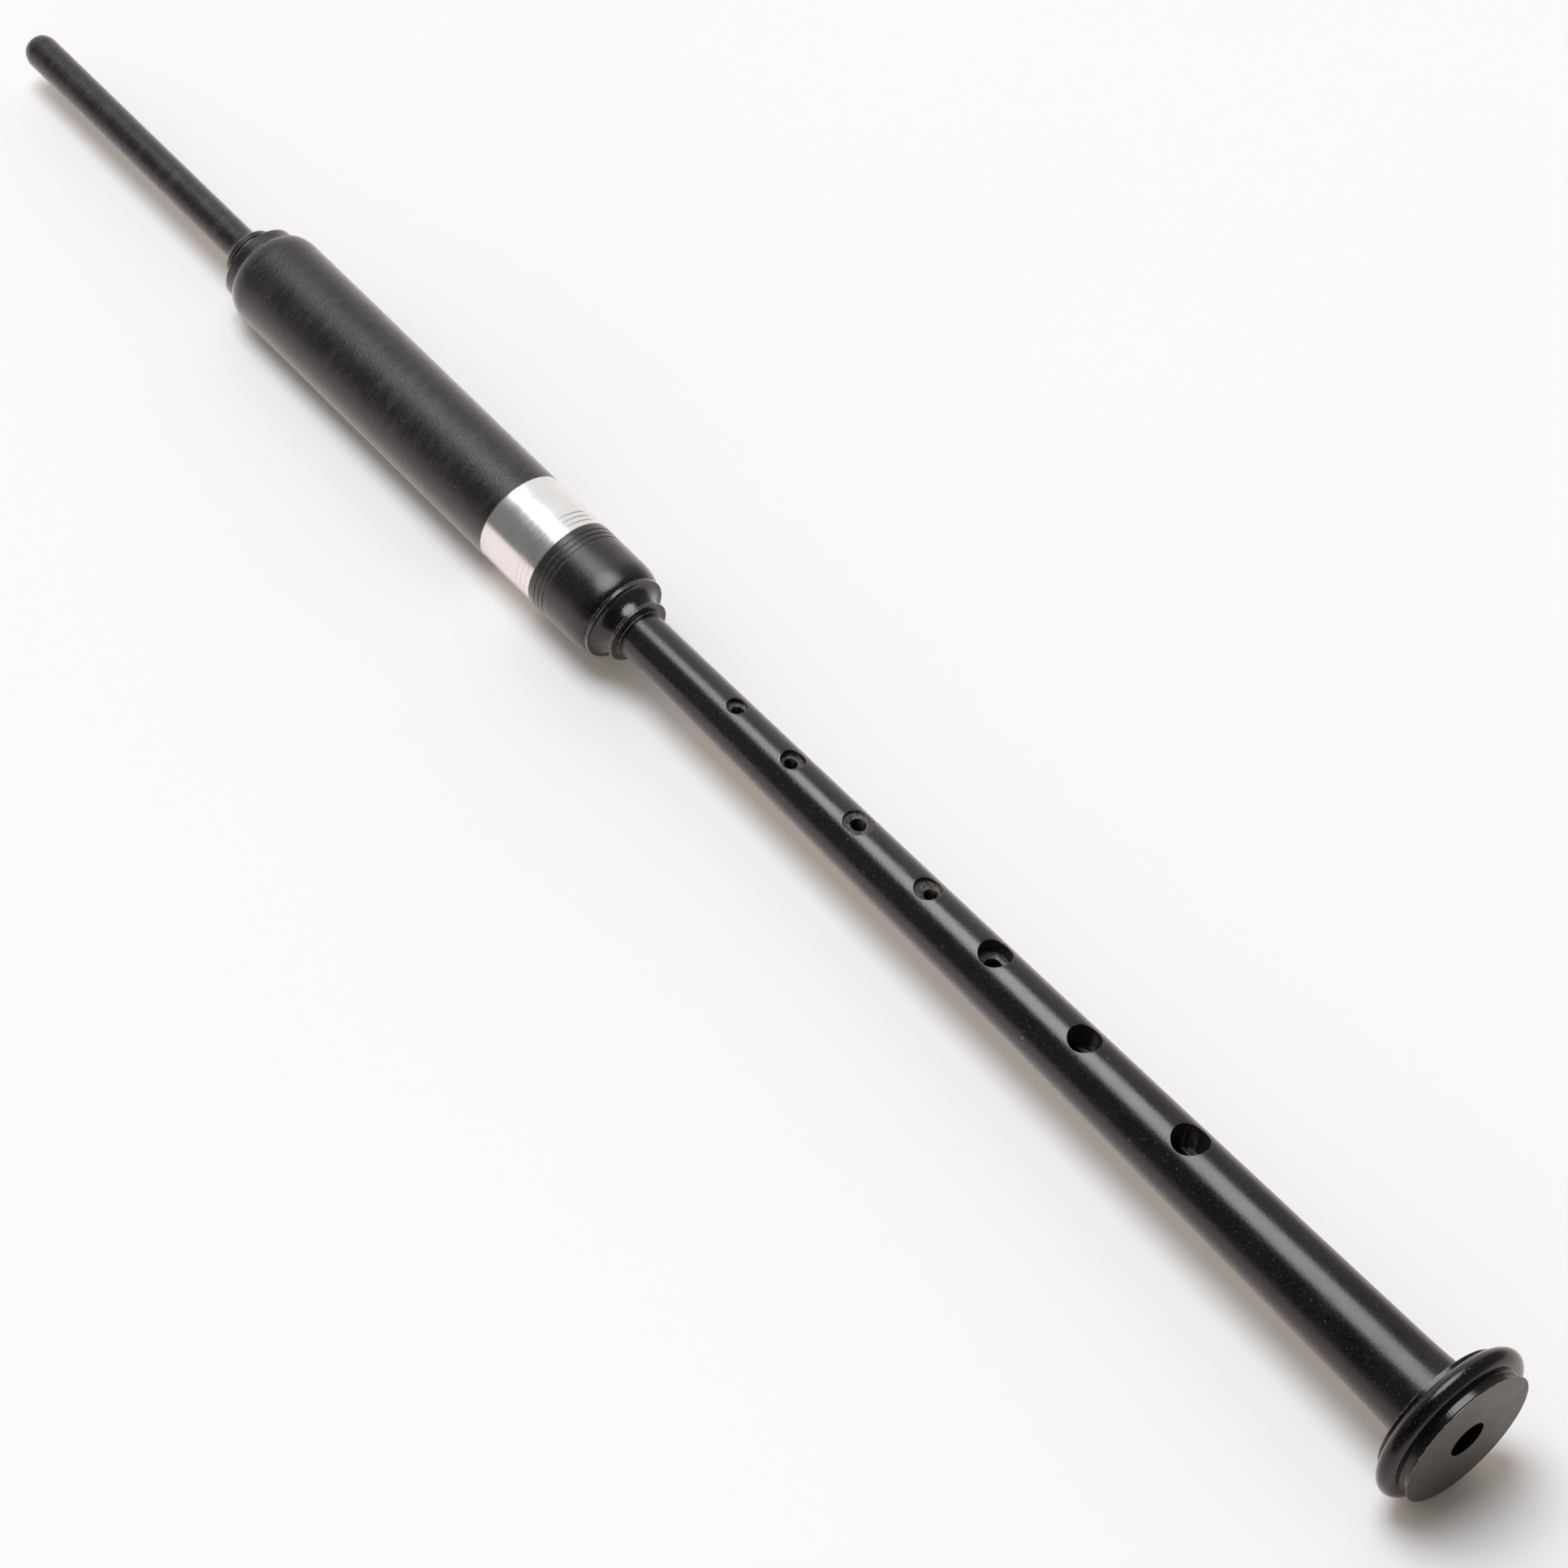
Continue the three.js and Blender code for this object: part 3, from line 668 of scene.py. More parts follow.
def rubber_finish(name, rubber):
    """Matte rubber with a pale bloom in places."""
    material, tree, place = new_material(name)
    bloom = noise(tree, place, (700, 700, 700), 3)
    base = mixed(tree, spread(tree, bloom, 0.4, 0.8, 0, 0.5), rgba(rubber), rgba(rubber, 3))
    finish_material(
        tree,
        {
            "Base Color": base,
            "Roughness": spread(tree, bloom, 0.3, 0.7, 0.6, 0.8),
            "Normal": bump(tree, bloom, 0.02 * MM),
        },
    )
    return material


def material_named(name, make, *arguments):
    """The material of that name, made the first time that it is asked for."""
    return bpy.data.materials.get(name) or make(name, *arguments)


def satin_black():
    colours = settings().colours
    return material_named("satin black", turned_finish, colours.satin_black, colours.dust_and_edge_glint)


def polished_black():
    colours = settings().colours
    return material_named("polished black", buffed_finish, colours.polished_black, colours.dust_and_edge_glint)


def cut_black():
    colours = settings().colours
    return material_named("cut black", cut_finish, colours.cut_black, colours.dust_and_edge_glint)


def waxed_thread():
    return material_named("waxed thread", thread_finish, settings().colours.thread)


# Outlines, as lists of (place along the axis, radius) in metres


def steep_then_level(start, end):
    """A quarter of an ellipse that leaves its start across the axis and ends along it."""
    points = []
    for step in range(CURVE_STEPS + 1):
        angle = math.pi / 2 * step / CURVE_STEPS
        place = start[0] + (end[0] - start[0]) * (1 - math.cos(angle))
        radius = start[1] + (end[1] - start[1]) * math.sin(angle)
        points.append((place, radius))
    return points


def level_then_steep(start, end):
    """The same quarter run the other way: it leaves along the axis and ends across it."""
    return steep_then_level(end, start)[::-1]


def engraved(first_line, radius):
    """The engraved lines, each a small groove with a narrow floor."""
    rod = settings().rod
    points = []
    for line in range(ENGRAVED_LINES):
        middle = first_line + line * rod.line_pitch
        points += [
            (middle - rod.line_width / 2, radius),
            (middle - rod.line_width / 6, radius - rod.line_depth),
            (middle + rod.line_width / 6, radius - rod.line_depth),
            (middle + rod.line_width / 2, radius),
        ]
    return points


def eased(outline, ease):
    """The closed outline with each sharp corner rounded.

    Each point gets its wear as a third value: 1 on the sharp edges that stand out, which are
    painted pale as wear and as a painted edge highlight, 0 elsewhere.
    """
    points = []
    for index, corner in enumerate(outline):
        here = Vector(corner)
        back = Vector(outline[index - 1]) - here
        ahead = Vector(outline[(index + 1) % len(outline)]) - here
        turn = math.pi - back.angle(ahead)
        if turn < EASED_TURN:
            points.append((*corner, 0.0))
            continue
        worn_or_glinting = turn > WORN_AND_GLINT_TURN and ahead.x * back.y < ahead.y * back.x
        reach = ease * math.tan(min(turn, math.pi / 2) / 2)
        reach = min(reach, EASE_SHARE * back.length, EASE_SHARE * ahead.length)
        faded = reach + WEAR_AND_GLINT_REACH
        fade_back = here + back.normalized() * min(faded, FADE_SHARE * back.length)
        fade_ahead = here + ahead.normalized() * min(faded, FADE_SHARE * ahead.length)
        start = here + back.normalized() * reach
        end = here + ahead.normalized() * reach
        points.append((*fade_back, 0.0))
        for step in range(EASE_STEPS + 1):
            along = step / EASE_STEPS
            curved = start * (1 - along) ** 2 + here * 2 * along * (1 - along) + end * along**2
            points.append((*curved, 1.0 if worn_or_glinting else 0.0))
        points.append((*fade_ahead, 0.0))
    return points


def wound_tenon_outline(shoulder, end, socket_radius):
    """A tenon from its shoulder to its end, with a recess for the thread between two lips."""
    body = settings().body
    direction = math.copysign(1, end - shoulder)
    lip_radius = socket_radius - SOCKET_CLEARANCE
    recess_radius = lip_radius - body.winding_depth
    recess_start = shoulder + direction * body.tenon_lip
    recess_end = end - direction * body.tenon_lip
    return [
        (shoulder, lip_radius),
        (recess_start, lip_radius),
        (recess_start, recess_radius),
        (recess_end, recess_radius),
        (recess_end, lip_radius),
        (end, lip_radius),
    ]


# Meshes


def new_object(name, mesh):
    thing = bpy.data.objects.new(name, mesh)
    bpy.context.scene.collection.objects.link(thing)
    return thing


def shade(mesh):
    """Turns all faces outwards and shades them smooth, except across sharp edges."""
    work = bmesh.new()
    work.from_mesh(mesh)
    bmesh.ops.recalc_face_normals(work, faces=work.faces)
    for face in work.faces:
        face.smooth = True
    for edge in work.edges:
        if len(edge.link_faces) == 2 and edge.calc_face_angle() > SHARP_TURN:
            edge.smooth = False
    work.to_mesh(mesh)
    work.free()


def turned_mesh(name, outline, materials, cut_from=None, segments=TURN_SEGMENTS):
    """A mesh turned about the chanter's axis from a closed outline with its wear, which marks edges
    painted pale as wear and as a painted edge highlight.

    From the point numbered cut_from on, the faces take the second material.
    """
    count = len(outline)
    vertices = []
    for segment in range(segments):
        angle = 2 * math.pi * segment / segments
        sine, cosine = math.sin(angle), math.cos(angle)
        for place, radius, _ in outline:
            vertices.append((place, radius * sine, AXIS_HEIGHT + radius * cosine))
    faces = []
    for segment in range(segments):
        here = segment * count
        there = (segment + 1) % segments * count
        for point in range(count):
            after = (point + 1) % count
            faces.append((here + point, there + point, there + after, here + after))
    mesh = bpy.data.meshes.new(name)
    mesh.from_pydata(vertices, [], faces)
    wear_and_edge_glint = mesh.attributes.new("wear_and_edge_glint", "FLOAT", "POINT")
    wear_and_edge_glint.data.foreach_set("value", [point[2] for point in outline] * segments)
    for material in materials:
        mesh.materials.append(material)
    if cut_from is not None:
        numbers = [1 if face % count >= cut_from else 0 for face in range(len(faces))]
        mesh.polygons.foreach_set("material_index", numbers)
    shade(mesh)
    return mesh


def mesh_of(work, name, *materials):
    """The mesh of a bmesh, which is freed."""
    mesh = bpy.data.meshes.new(name)
    work.to_mesh(mesh)
    work.free()
    for material in materials:
        mesh.materials.append(material)
    return mesh


def stand_for(piece, node, body):
    """The piece takes the place of a CAD node and moves with its body."""
    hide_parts(node)
    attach(piece, body)


def turn_piece(name, node, body, outline, materials, cut_from=None, segments=TURN_SEGMENTS):
    """Turns a piece and lets it stand for a CAD node."""
    mesh = turned_mesh(name, outline, materials, cut_from, segments)
    stand_for(new_object(name, mesh), node, body)


def nearest_point_number(outline, place, radius):
    """The number of the outline's point nearest to a place and radius."""
    return min(
        range(len(outline)),
        key=lambda number: math.hypot(outline[number][0] - place, outline[number][1] - radius),
    )


def baked(thing):
    """Replaces the object's mesh by its modifiers' result and removes the modifiers."""
    depsgraph = bpy.context.evaluated_depsgraph_get()
    result = bpy.data.meshes.new_from_object(thing.evaluated_get(depsgraph))
    thing.modifiers.clear()
    thing.data = result


# Operators


class CHANTER_OT_mouthpiece(bpy.types.Operator):
    """Turn the mouthpiece with its ring, cove, collar and tenon"""

    bl_idname = "chanter.mouthpiece"
    bl_label = "Turn Mouthpiece"

    def execute(self, context):
        sizes = settings().mouthpiece
        face_radius = radius_of_rod() - settings().top_section.shoulder_drop
        collar_radius = face_radius - sizes.collar_inset
        bore_radius = sizes.bore / 2
        ring_radius = sizes.ring_diameter / 2
        lip_end = MOUTHPIECE_TIP + sizes.lip_length
        tube_end = lip_end + sizes.tube_length
        flare_end = tube_end + sizes.flare_length
        ring_end = flare_end + sizes.ring_width
        collar_back = ring_end + sizes.cove_length
        collar_front = collar_back + sizes.collar_width
        tip_edge = (MOUTHPIECE_TIP, sizes.tip_face / 2)
        root = (tube_end, sizes.root_diameter / 2)
        flare = (flare_end, sizes.flare_diameter / 2)
        cove_middle = (ring_end + sizes.cove_length / 2, sizes.cove_diameter / 2)
        outline = eased(
            [
                (MOUTHPIECE_TIP, bore_radius),
                *steep_then_level(tip_edge, (lip_end, sizes.lip_diameter / 2)),
                *level_then_steep(root, flare),
                (flare_end, ring_radius),
                *steep_then_level((ring_end, ring_radius), cove_middle),
                *level_then_steep(cove_middle, (collar_back, ring_radius))[1:],
                (collar_back, collar_radius),
                (collar_front, collar_radius),
                *wound_tenon_outline(collar_front, MOUTHPIECE_END, mouthpiece_socket_radius()),
                (MOUTHPIECE_END, bore_radius),
            ],
            settings().rod.edge_ease,
        )
        bore_start = nearest_point_number(outline, MOUTHPIECE_END, bore_radius)
        blacks = [satin_black(), cut_black()]
        turn_piece("mouthpiece_turned", "mouthpiece", "mouthpiece", outline, blacks, bore_start)
        return {"FINISHED"}


class CHANTER_OT_top_section(bpy.types.Operator):
    """Turn the plain sleeve with its sockets and reed chamber"""

    bl_idname = "chanter.top_section"
    bl_label = "Turn Top Section"

    def execute(self, context):
        sizes = settings().top_section
        rod_radius = radius_of_rod()
        face_radius = rod_radius - sizes.shoulder_drop
        socket_radius = mouthpiece_socket_radius()
        chamber_radius = rod_radius - sizes.reed_chamber_wall
        shoulder_end = SLEEVE_START + sizes.shoulder_length
        ferrule_seat = FERRULE_START - SEAM_GAP
        socket_floor = TENON_END - SEAT_GAP
        socket_end = MOUTHPIECE_END + SEAT_GAP
        outline = eased(
            [
                (SLEEVE_START, socket_radius),
                *steep_then_level((SLEEVE_START, face_radius), (shoulder_end, rod_radius)),
                (ferrule_seat, rod_radius),
                (ferrule_seat, spigot_radius()),
                (SPIGOT_END, spigot_radius()),
                (SPIGOT_END, tenon_socket_radius()),
                (socket_floor, tenon_socket_radius()),
                (socket_floor, chamber_radius),
                (socket_end, chamber_radius),
                (socket_end, socket_radius),
            ],
            settings().rod.edge_ease,
        )
        cut_start = nearest_point_number(outline, SPIGOT_END, tenon_socket_radius())
        blacks = [satin_black(), cut_black()]
        turn_piece("sleeve", "top_section", "top_section", outline, blacks, cut_start)
        return {"FINISHED"}


class CHANTER_OT_ferrule(bpy.types.Operator):
    """Turn the metal ferrule with its engraved lines"""

    bl_idname = "chanter.ferrule"
    bl_label = "Turn Ferrule"

    def execute(self, context):
        sizes = settings().top_section
        rod = settings().rod
        outer_radius = radius_of_rod()
        inner_radius = outer_radius - sizes.ferrule_wall
        engraved_length = (ENGRAVED_LINES - 1) * rod.line_pitch
        first_line = FERRULE_END - sizes.ferrule_line_margin - engraved_length
        outline = eased(
            [
                (FERRULE_START, inner_radius),
                (FERRULE_START, outer_radius),
                *engraved(first_line, outer_radius),
                (FERRULE_END, outer_radius),
                (FERRULE_END, inner_radius),
            ],
            rod.edge_ease / 2,
        )
        metal = material_named("polished metal", metal_finish, settings().colours.metal)
        turn_piece("ferrule_ring", "ferrule", "top_section", outline, [metal])
        return {"FINISHED"}


def bulb_places():
    """Where the bulb starts, and where each of its forms down to the stem ends."""
    body = settings().body
    lengths = (
        body.bulb_straight,
        body.bulb_round,
        body.groove_width,
        body.large_flange_width,
        body.cove_length,
        body.small_flange_width,
        body.stem_step_length,
    )
    return list(accumulate(lengths, initial=FERRULE_END + SEAM_GAP))


def stem_span():
    """Where the stem starts and ends."""
    return bulb_places()[-1], SOLE_START - SEAT_GAP


def stem_radius(place):
    """The stem swells from the bulb to the foot, a little faster towards the end."""
    body = settings().body
    start, end = stem_span()
    along = (place - start) / (end - start)
    swell = body.straight_share * along + (1 - body.straight_share) * along**2
    flare = max(0.0, (place - (end - body.foot_flare_length)) / body.foot_flare_length)
    top, foot = body.stem_top_diameter / 2, body.stem_foot_diameter / 2
    return top + (foot - top) * swell + body.foot_flare_rise * flare**2


def upright_cutter(work, place, upward, rings):
    """Adds a closed upright cutter from its rings: (radius, height at x and y, wear, which also
    marks a painted edge highlight).
    """
    worn_or_glinting = work.verts.layers.float["wear_and_edge_glint"]
    made = []
    for radius, height_at, wear_and_edge_glint in rings:
        ring = []
        for side in range(CUTTER_SIDES):
            angle = 2 * math.pi * side / CUTTER_SIDES
            x, y = place + radius * math.cos(angle), radius * math.sin(angle)
            vertex = work.verts.new((x, y, AXIS_HEIGHT + upward * height_at(x, y)))
            vertex[worn_or_glinting] = wear_and_edge_glint
            ring.append(vertex)
        made.append(ring)
    for lower, upper in zip(made, made[1:]):
        for side in range(CUTTER_SIDES):
            after = (side + 1) % CUTTER_SIDES
            work.faces.new((lower[side], lower[after], upper[after], upper[side]))
    work.faces.new(made[0][::-1])
    work.faces.new(made[-1])


def hole_cutter(work, place, radius, floor, upward, edge):
    """Adds a cutter whose rim follows the stem's surface and rounds the hole's edge."""

    def below_surface(depth, least):
        def height_at(x, y):
            surface = math.sqrt(max(stem_radius(x) ** 2 - y**2, 0.0))
            return max(surface - depth, floor + least)

        return height_at

    rings = [
        (radius, lambda x, y: floor, 0.0),
        (radius, below_surface(edge + WEAR_AND_GLINT_REACH, edge / 4), 0.0),
    ]
    # The rounding of the rim is painted pale: wear and a painted edge highlight
    for step in range(EASE_STEPS + 2):
        turn = step / (EASE_STEPS + 1) * math.pi / 2
        ring_radius = radius + edge * (1 - math.cos(turn))
        rings.append((ring_radius, below_surface(edge * (1 - math.sin(turn)), edge / 2), 1.0))
    rings.append((radius + edge, lambda x, y: stem_radius(place) + 2 * radius, 0.0))
    upright_cutter(work, place, upward, rings)


def inner_cutter(work, place, radius, floor, edge):
    """Adds a cutter through a hole's floor to the bore, with a small chamfer at the floor."""
    rings = [
        (radius, lambda x, y: 0.0, 0.0),
        (radius, lambda x, y: floor - edge - WEAR_AND_GLINT_REACH, 0.0),
        # The chamfer is painted pale: wear and a painted edge highlight
        (radius, lambda x, y: floor - edge, 1.0),
        (radius + edge, lambda x, y: floor, 1.0),
        (radius + edge, lambda x, y: stem_radius(place), 0.0),
    ]
    upright_cutter(work, place, 1, rings)


def cutter_object(name, fill):
    """An object of cutters, whose faces carry the second material."""
    work = bmesh.new()
    work.verts.layers.float.new("wear_and_edge_glint")
    fill(work)
    bmesh.ops.recalc_face_normals(work, faces=work.faces)
    for face in work.faces:
        face.material_index = 1
        face.smooth = True
    return new_object(name, mesh_of(work, name, polished_black(), cut_black()))


class CHANTER_OT_body(bpy.types.Operator):
    """Turn the bulb and the stem, and drill the bore and the holes"""

    bl_idname = "chanter.body"
    bl_label = "Turn Chanter Body"

    def bulb(self, sizes):
        start, straight_end, round_end, *flanges, step_end = bulb_places()
        large_start, large_end, small_start, small_end = flanges
        rod_radius = radius_of_rod()
        groove_radius = rod_radius - sizes.groove_drop
        large_radius = rod_radius - sizes.large_flange_drop
        small_radius = sizes.stem_top_diameter / 2 + sizes.small_flange_rise
        step_radius = sizes.stem_top_diameter / 2 + sizes.stem_step_rise
        rounded = (round_end, rod_radius - sizes.bulb_drop)
        return [
            (start, rod_radius),
            *engraved(start + sizes.line_margin, rod_radius),
            *level_then_steep((straight_end, rod_radius), rounded),
            (round_end + sizes.groove_width / 2, groove_radius),
            (large_start, groove_radius),
            (large_start, large_radius),
            (large_end, large_radius),
            *steep_then_level(
                (large_end, large_radius - sizes.large_flange_rim),
                (small_start, small_radius - sizes.cove_foot_step),
            ),
            (small_start, small_radius),
            (small_end, small_radius),
            (small_end, step_radius),
            (step_end, step_radius),
        ]

    def stem(self):
        start, end = stem_span()
        count = round((end - start) / STEM_RING_SPACING)
        places = [start + (end - start) * ring / count for ring in range(count + 1)]
        return [(place, stem_radius(place)) for place in places]

    def drill(self, piece, sizes):
        start, end = stem_span()

        def measured(hole):
            """The place of a hole, the width of its mouth and the height of its floor."""
            place = start + hole["place"] * (end - start)
            mouth = hole["mouth"] * sizes.largest_hole
            floor = stem_radius(place) - mouth * hole["depth"] if "depth" in hole else 0.0
            return place, mouth, floor

        def wide(work):
            for hole in FINGER_HOLE_SHARES:
                place, mouth, floor = measured(hole)
                hole_cutter(work, place, mouth / 2, floor, 1, sizes.hole_edge)
            place, mouth, floor = measured(THUMB_HOLE_SHARES)
            hole_cutter(work, place, mouth / 2, floor, -1, sizes.hole_edge)

        def narrow(work):
            for hole in FINGER_HOLE_SHARES:
                if "inner" in hole:
                    place, mouth, floor = measured(hole)
                    place += hole["offset"] * mouth
                    inner_cutter(work, place, hole["inner"] * mouth / 2, floor, sizes.hole_edge)

        cutters = [cutter_object("wide_cutters", wide), cutter_object("narrow_cutters", narrow)]
        for cutter in cutters:
            modifier = piece.modifiers.new(cutter.name, "BOOLEAN")
            modifier.operation = "DIFFERENCE"
            modifier.solver = "EXACT"
            modifier.object = cutter
        baked(piece)
        for cutter in cutters:
            bpy.data.objects.remove(cutter)

    def execute(self, context):
        sizes = settings().body
        tenon = wound_tenon_outline(FERRULE_END + SEAM_GAP, TENON_END, tenon_socket_radius())
        seat_floor = TENON_END + sizes.reed_seat_depth
        seat_radius = sizes.reed_seat_diameter / 2
        stem_end = stem_span()[1]
        foot_radius = sizes.foot_tenon / 2
        outline = eased(
            [
                (TENON_END, seat_radius),
                *tenon[::-1],
                *self.bulb(sizes),
                *self.stem(),
                (stem_end, foot_radius),
                (FOOT_TENON_END, foot_radius),
                (FOOT_TENON_END, sizes.bore / 2),
                (seat_floor, sizes.bore / 2),
                (seat_floor, seat_radius),
            ],
            settings().rod.edge_ease,
        )
        cut_start = nearest_point_number(outline, stem_end, foot_radius)
        materials = [polished_black(), cut_black()]
        mesh = turned_mesh("bulb_and_stem", outline, materials, cut_start)
        piece = new_object("bulb_and_stem", mesh)
        self.drill(piece, sizes)
        shade(piece.data)
        stand_for(piece, "chanter_body", "chanter")
        return {"FINISHED"}


class CHANTER_OT_sole(bpy.types.Operator):
    """Turn the beaded sole"""

    bl_idname = "chanter.sole"
    bl_label = "Turn Sole"

    def execute(self, context):
        sizes = settings().sole
        bead_radius = sizes.bead_diameter / 2
        back_radius = bead_radius - sizes.back_drop
        foot_radius = bead_radius - sizes.bead_foot_drop
        rim_radius = bead_radius - sizes.rim_drop
        recess_radius = settings().body.foot_tenon / 2 + SOCKET_CLEARANCE
        mouth_radius = sizes.mouth / 2
        bead_start = SOLE_START + sizes.back_width
        bead_crown = bead_start + sizes.bead_width * sizes.crown_share
        bead_end = bead_start + sizes.bead_width
        cove_radius = bead_radius - sizes.cove_drop
        cove_start = bead_end + sizes.cove_entry
        cove_end = cove_start + sizes.cove_flat
        rim_start = cove_end + sizes.cove_flare
        recess_end = FOOT_TENON_END + SEAT_GAP
        outline = eased(
            [
                (SOLE_START, recess_radius),
                (SOLE_START, back_radius),
                *steep_then_level((bead_start, back_radius), (bead_crown, bead_radius)),
                *level_then_steep((bead_crown, bead_radius), (bead_end, foot_radius))[1:],
                *steep_then_level((bead_end, foot_radius), (cove_start, cove_radius))[1:],
                *level_then_steep((cove_end, cove_radius), (rim_start, rim_radius)),
                (SOLE_END, rim_radius),
                (SOLE_END, mouth_radius),
                (recess_end, mouth_radius),
                (recess_end, recess_radius),
            ],
            settings().rod.edge_ease,
        )
        cut_start = nearest_point_number(outline, recess_end, mouth_radius)
        blacks = [polished_black(), cut_black()]
        turn_piece("beaded_sole", "sole", "chanter", outline, blacks, cut_start)
        return {"FINISHED"}


# Windings


def winding_tree():
    """A node tree that winds one unbroken thread round the core that it is given."""
    name = "wound thread"
    if name in bpy.data.node_groups:
        return bpy.data.node_groups[name]
    tree = bpy.data.node_groups.new(name, "GeometryNodeTree")
    sockets = tree.interface
    sockets.new_socket("Core", in_out="INPUT", socket_type="NodeSocketGeometry")
    for label, kind in (
        ("Start", "NodeSocketVector"),
        ("Length", "NodeSocketFloat"),
        ("Radius", "NodeSocketFloat"),
        ("Turns", "NodeSocketFloat"),
        ("Thread Radius", "NodeSocketFloat"),
        ("Material", "NodeSocketMaterial"),
    ):
        sockets.new_socket(label, in_out="INPUT", socket_type=kind)
    sockets.new_socket("Winding", in_out="OUTPUT", socket_type="NodeSocketGeometry")
    given = add(tree, "NodeGroupInput").outputs
    helix = add(
        tree,
        "GeometryNodeCurveSpiral",
        {
            "Resolution": COIL_STEPS,
            "Rotations": given["Turns"],
            "Start Radius": given["Radius"],
            "End Radius": given["Radius"],
            "Height": given["Length"],
        },
    )
    section = add(tree, "GeometryNodeCurvePrimitiveCircle", {"Resolution": THREAD_SIDES})
    tree.links.new(given["Thread Radius"], section.inputs["Radius"])
    thread = add(
        tree,
        "GeometryNodeCurveToMesh",
        {
            "Curve": helix.outputs["Curve"],
            "Profile Curve": section.outputs["Curve"],
            "Fill Caps": True,
        },
    )
    laid = add(
        tree,
        "GeometryNodeTransform",
        {
            "Geometry": thread.outputs["Mesh"],
            "Translation": given["Start"],
            "Rotation": (0.0, math.pi / 2, 0.0),
        },
    )
    smooth = add(tree, "GeometryNodeSetShadeSmooth", {"Geometry": laid.outputs["Geometry"]})
    joined = add(tree, "GeometryNodeJoinGeometry")
    tree.links.new(smooth.outputs["Geometry"], joined.inputs["Geometry"])
    tree.links.new(given["Core"], joined.inputs["Geometry"])
    real = add(tree, "GeometryNodeRealizeInstances", {"Geometry": joined.outputs["Geometry"]})
    finished = add(
        tree,
        "GeometryNodeSetMaterial",
        {"Geometry": real.outputs["Geometry"], "Material": given["Material"]},
    )
    add(tree, "NodeGroupOutput", {"Winding": finished.outputs["Geometry"]})
    return tree


def wind(node, body, inner_radius, outer_radius):
    """A wound thread over a thin core, in the space of a CAD winding."""
    thread_radius = settings().reed.thread_radius
    start, end = (corner.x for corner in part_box(node))
    coil_radius = outer_radius - thread_radius
    coil_start, coil_length = start + thread_radius, end - start - 2 * thread_radius
    core = [
        (start, inner_radius, 0.0),
        (start, coil_radius, 0.0),
        (end, coil_radius, 0.0),
        (end, inner_radius, 0.0),
    ]
    mesh = turned_mesh(node + "_wound", core, [waxed_thread()], None, SMALL_TURN_SEGMENTS)
    piece = new_object(node + "_wound", mesh)
    tree = winding_tree()
    modifier = piece.modifiers.new("winding", "NODES")
    modifier.node_group = tree
    values = {
        "Start": (coil_start, 0.0, AXIS_HEIGHT),
        "Length": coil_length,
        "Radius": coil_radius,
        "Turns": round(coil_length / (2 * thread_radius)),
        "Thread Radius": thread_radius,
        "Material": waxed_thread(),
    }
    for item in tree.interface.items_tree:
        if item.item_type == "SOCKET" and item.in_out == "INPUT" and item.name in values:
            modifier[item.identifier] = values[item.name]
    piece.update_tag()
    baked(piece)
    stand_for(piece, node, body)


class CHANTER_OT_windings(bpy.types.Operator):
    """Wind the thread on both tenons and on the reed"""

    bl_idname = "chanter.windings"
    bl_label = "Wind Thread"

    def execute(self, context):
        body = settings().body
        reed = settings().reed
        sockets = {
            "mouthpiece_winding": mouthpiece_socket_radius(),
            "tenon_winding": tenon_socket_radius(),
        }
        for node, socket_radius in sockets.items():
            recess_radius = socket_radius - SOCKET_CLEARANCE - body.winding_depth
            inner_radius = recess_radius + CORE_CLEARANCE
            wind(node, node, inner_radius, socket_radius - WINDING_CLEARANCE)
        staple_radius = reed.staple_diameter / 2
        seat_radius = body.reed_seat_diameter / 2
        inner_radius = staple_radius + CORE_CLEARANCE
        wind("reed_seat_thread", "reed", inner_radius, seat_radius - WINDING_CLEARANCE)
        blade_radius = staple_radius + WINDING_CLEARANCE + reed.root_wall
        low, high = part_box("reed_binding")
        inner_radius = blade_radius + WINDING_CLEARANCE
        wind("reed_binding", "reed", inner_radius, (high.z - low.z) / 2)
        return {"FINISHED"}


# Reed


def blade_section(along):
    """Half width, height and wall of a blade at a share of its length from root to tip."""
    reed = settings().reed
    root_radius = reed.staple_diameter / 2 + WINDING_CLEARANCE + reed.root_wall
    bound = reed.binding_length / (BLADE_ROOT - REED_TIP)
    spread_share = max(0.0, (along - bound) / (1 - bound))

    def blend(root, tip):
        return root + (tip - root) * spread_share

    half_width = blend(root_radius, reed.tip_width / 2)
    height = blend(root_radius, reed.tip_opening / 2 + reed.tip_wall)
    wall = blend(reed.root_wall, reed.tip_wall)
    return half_width, height, wall


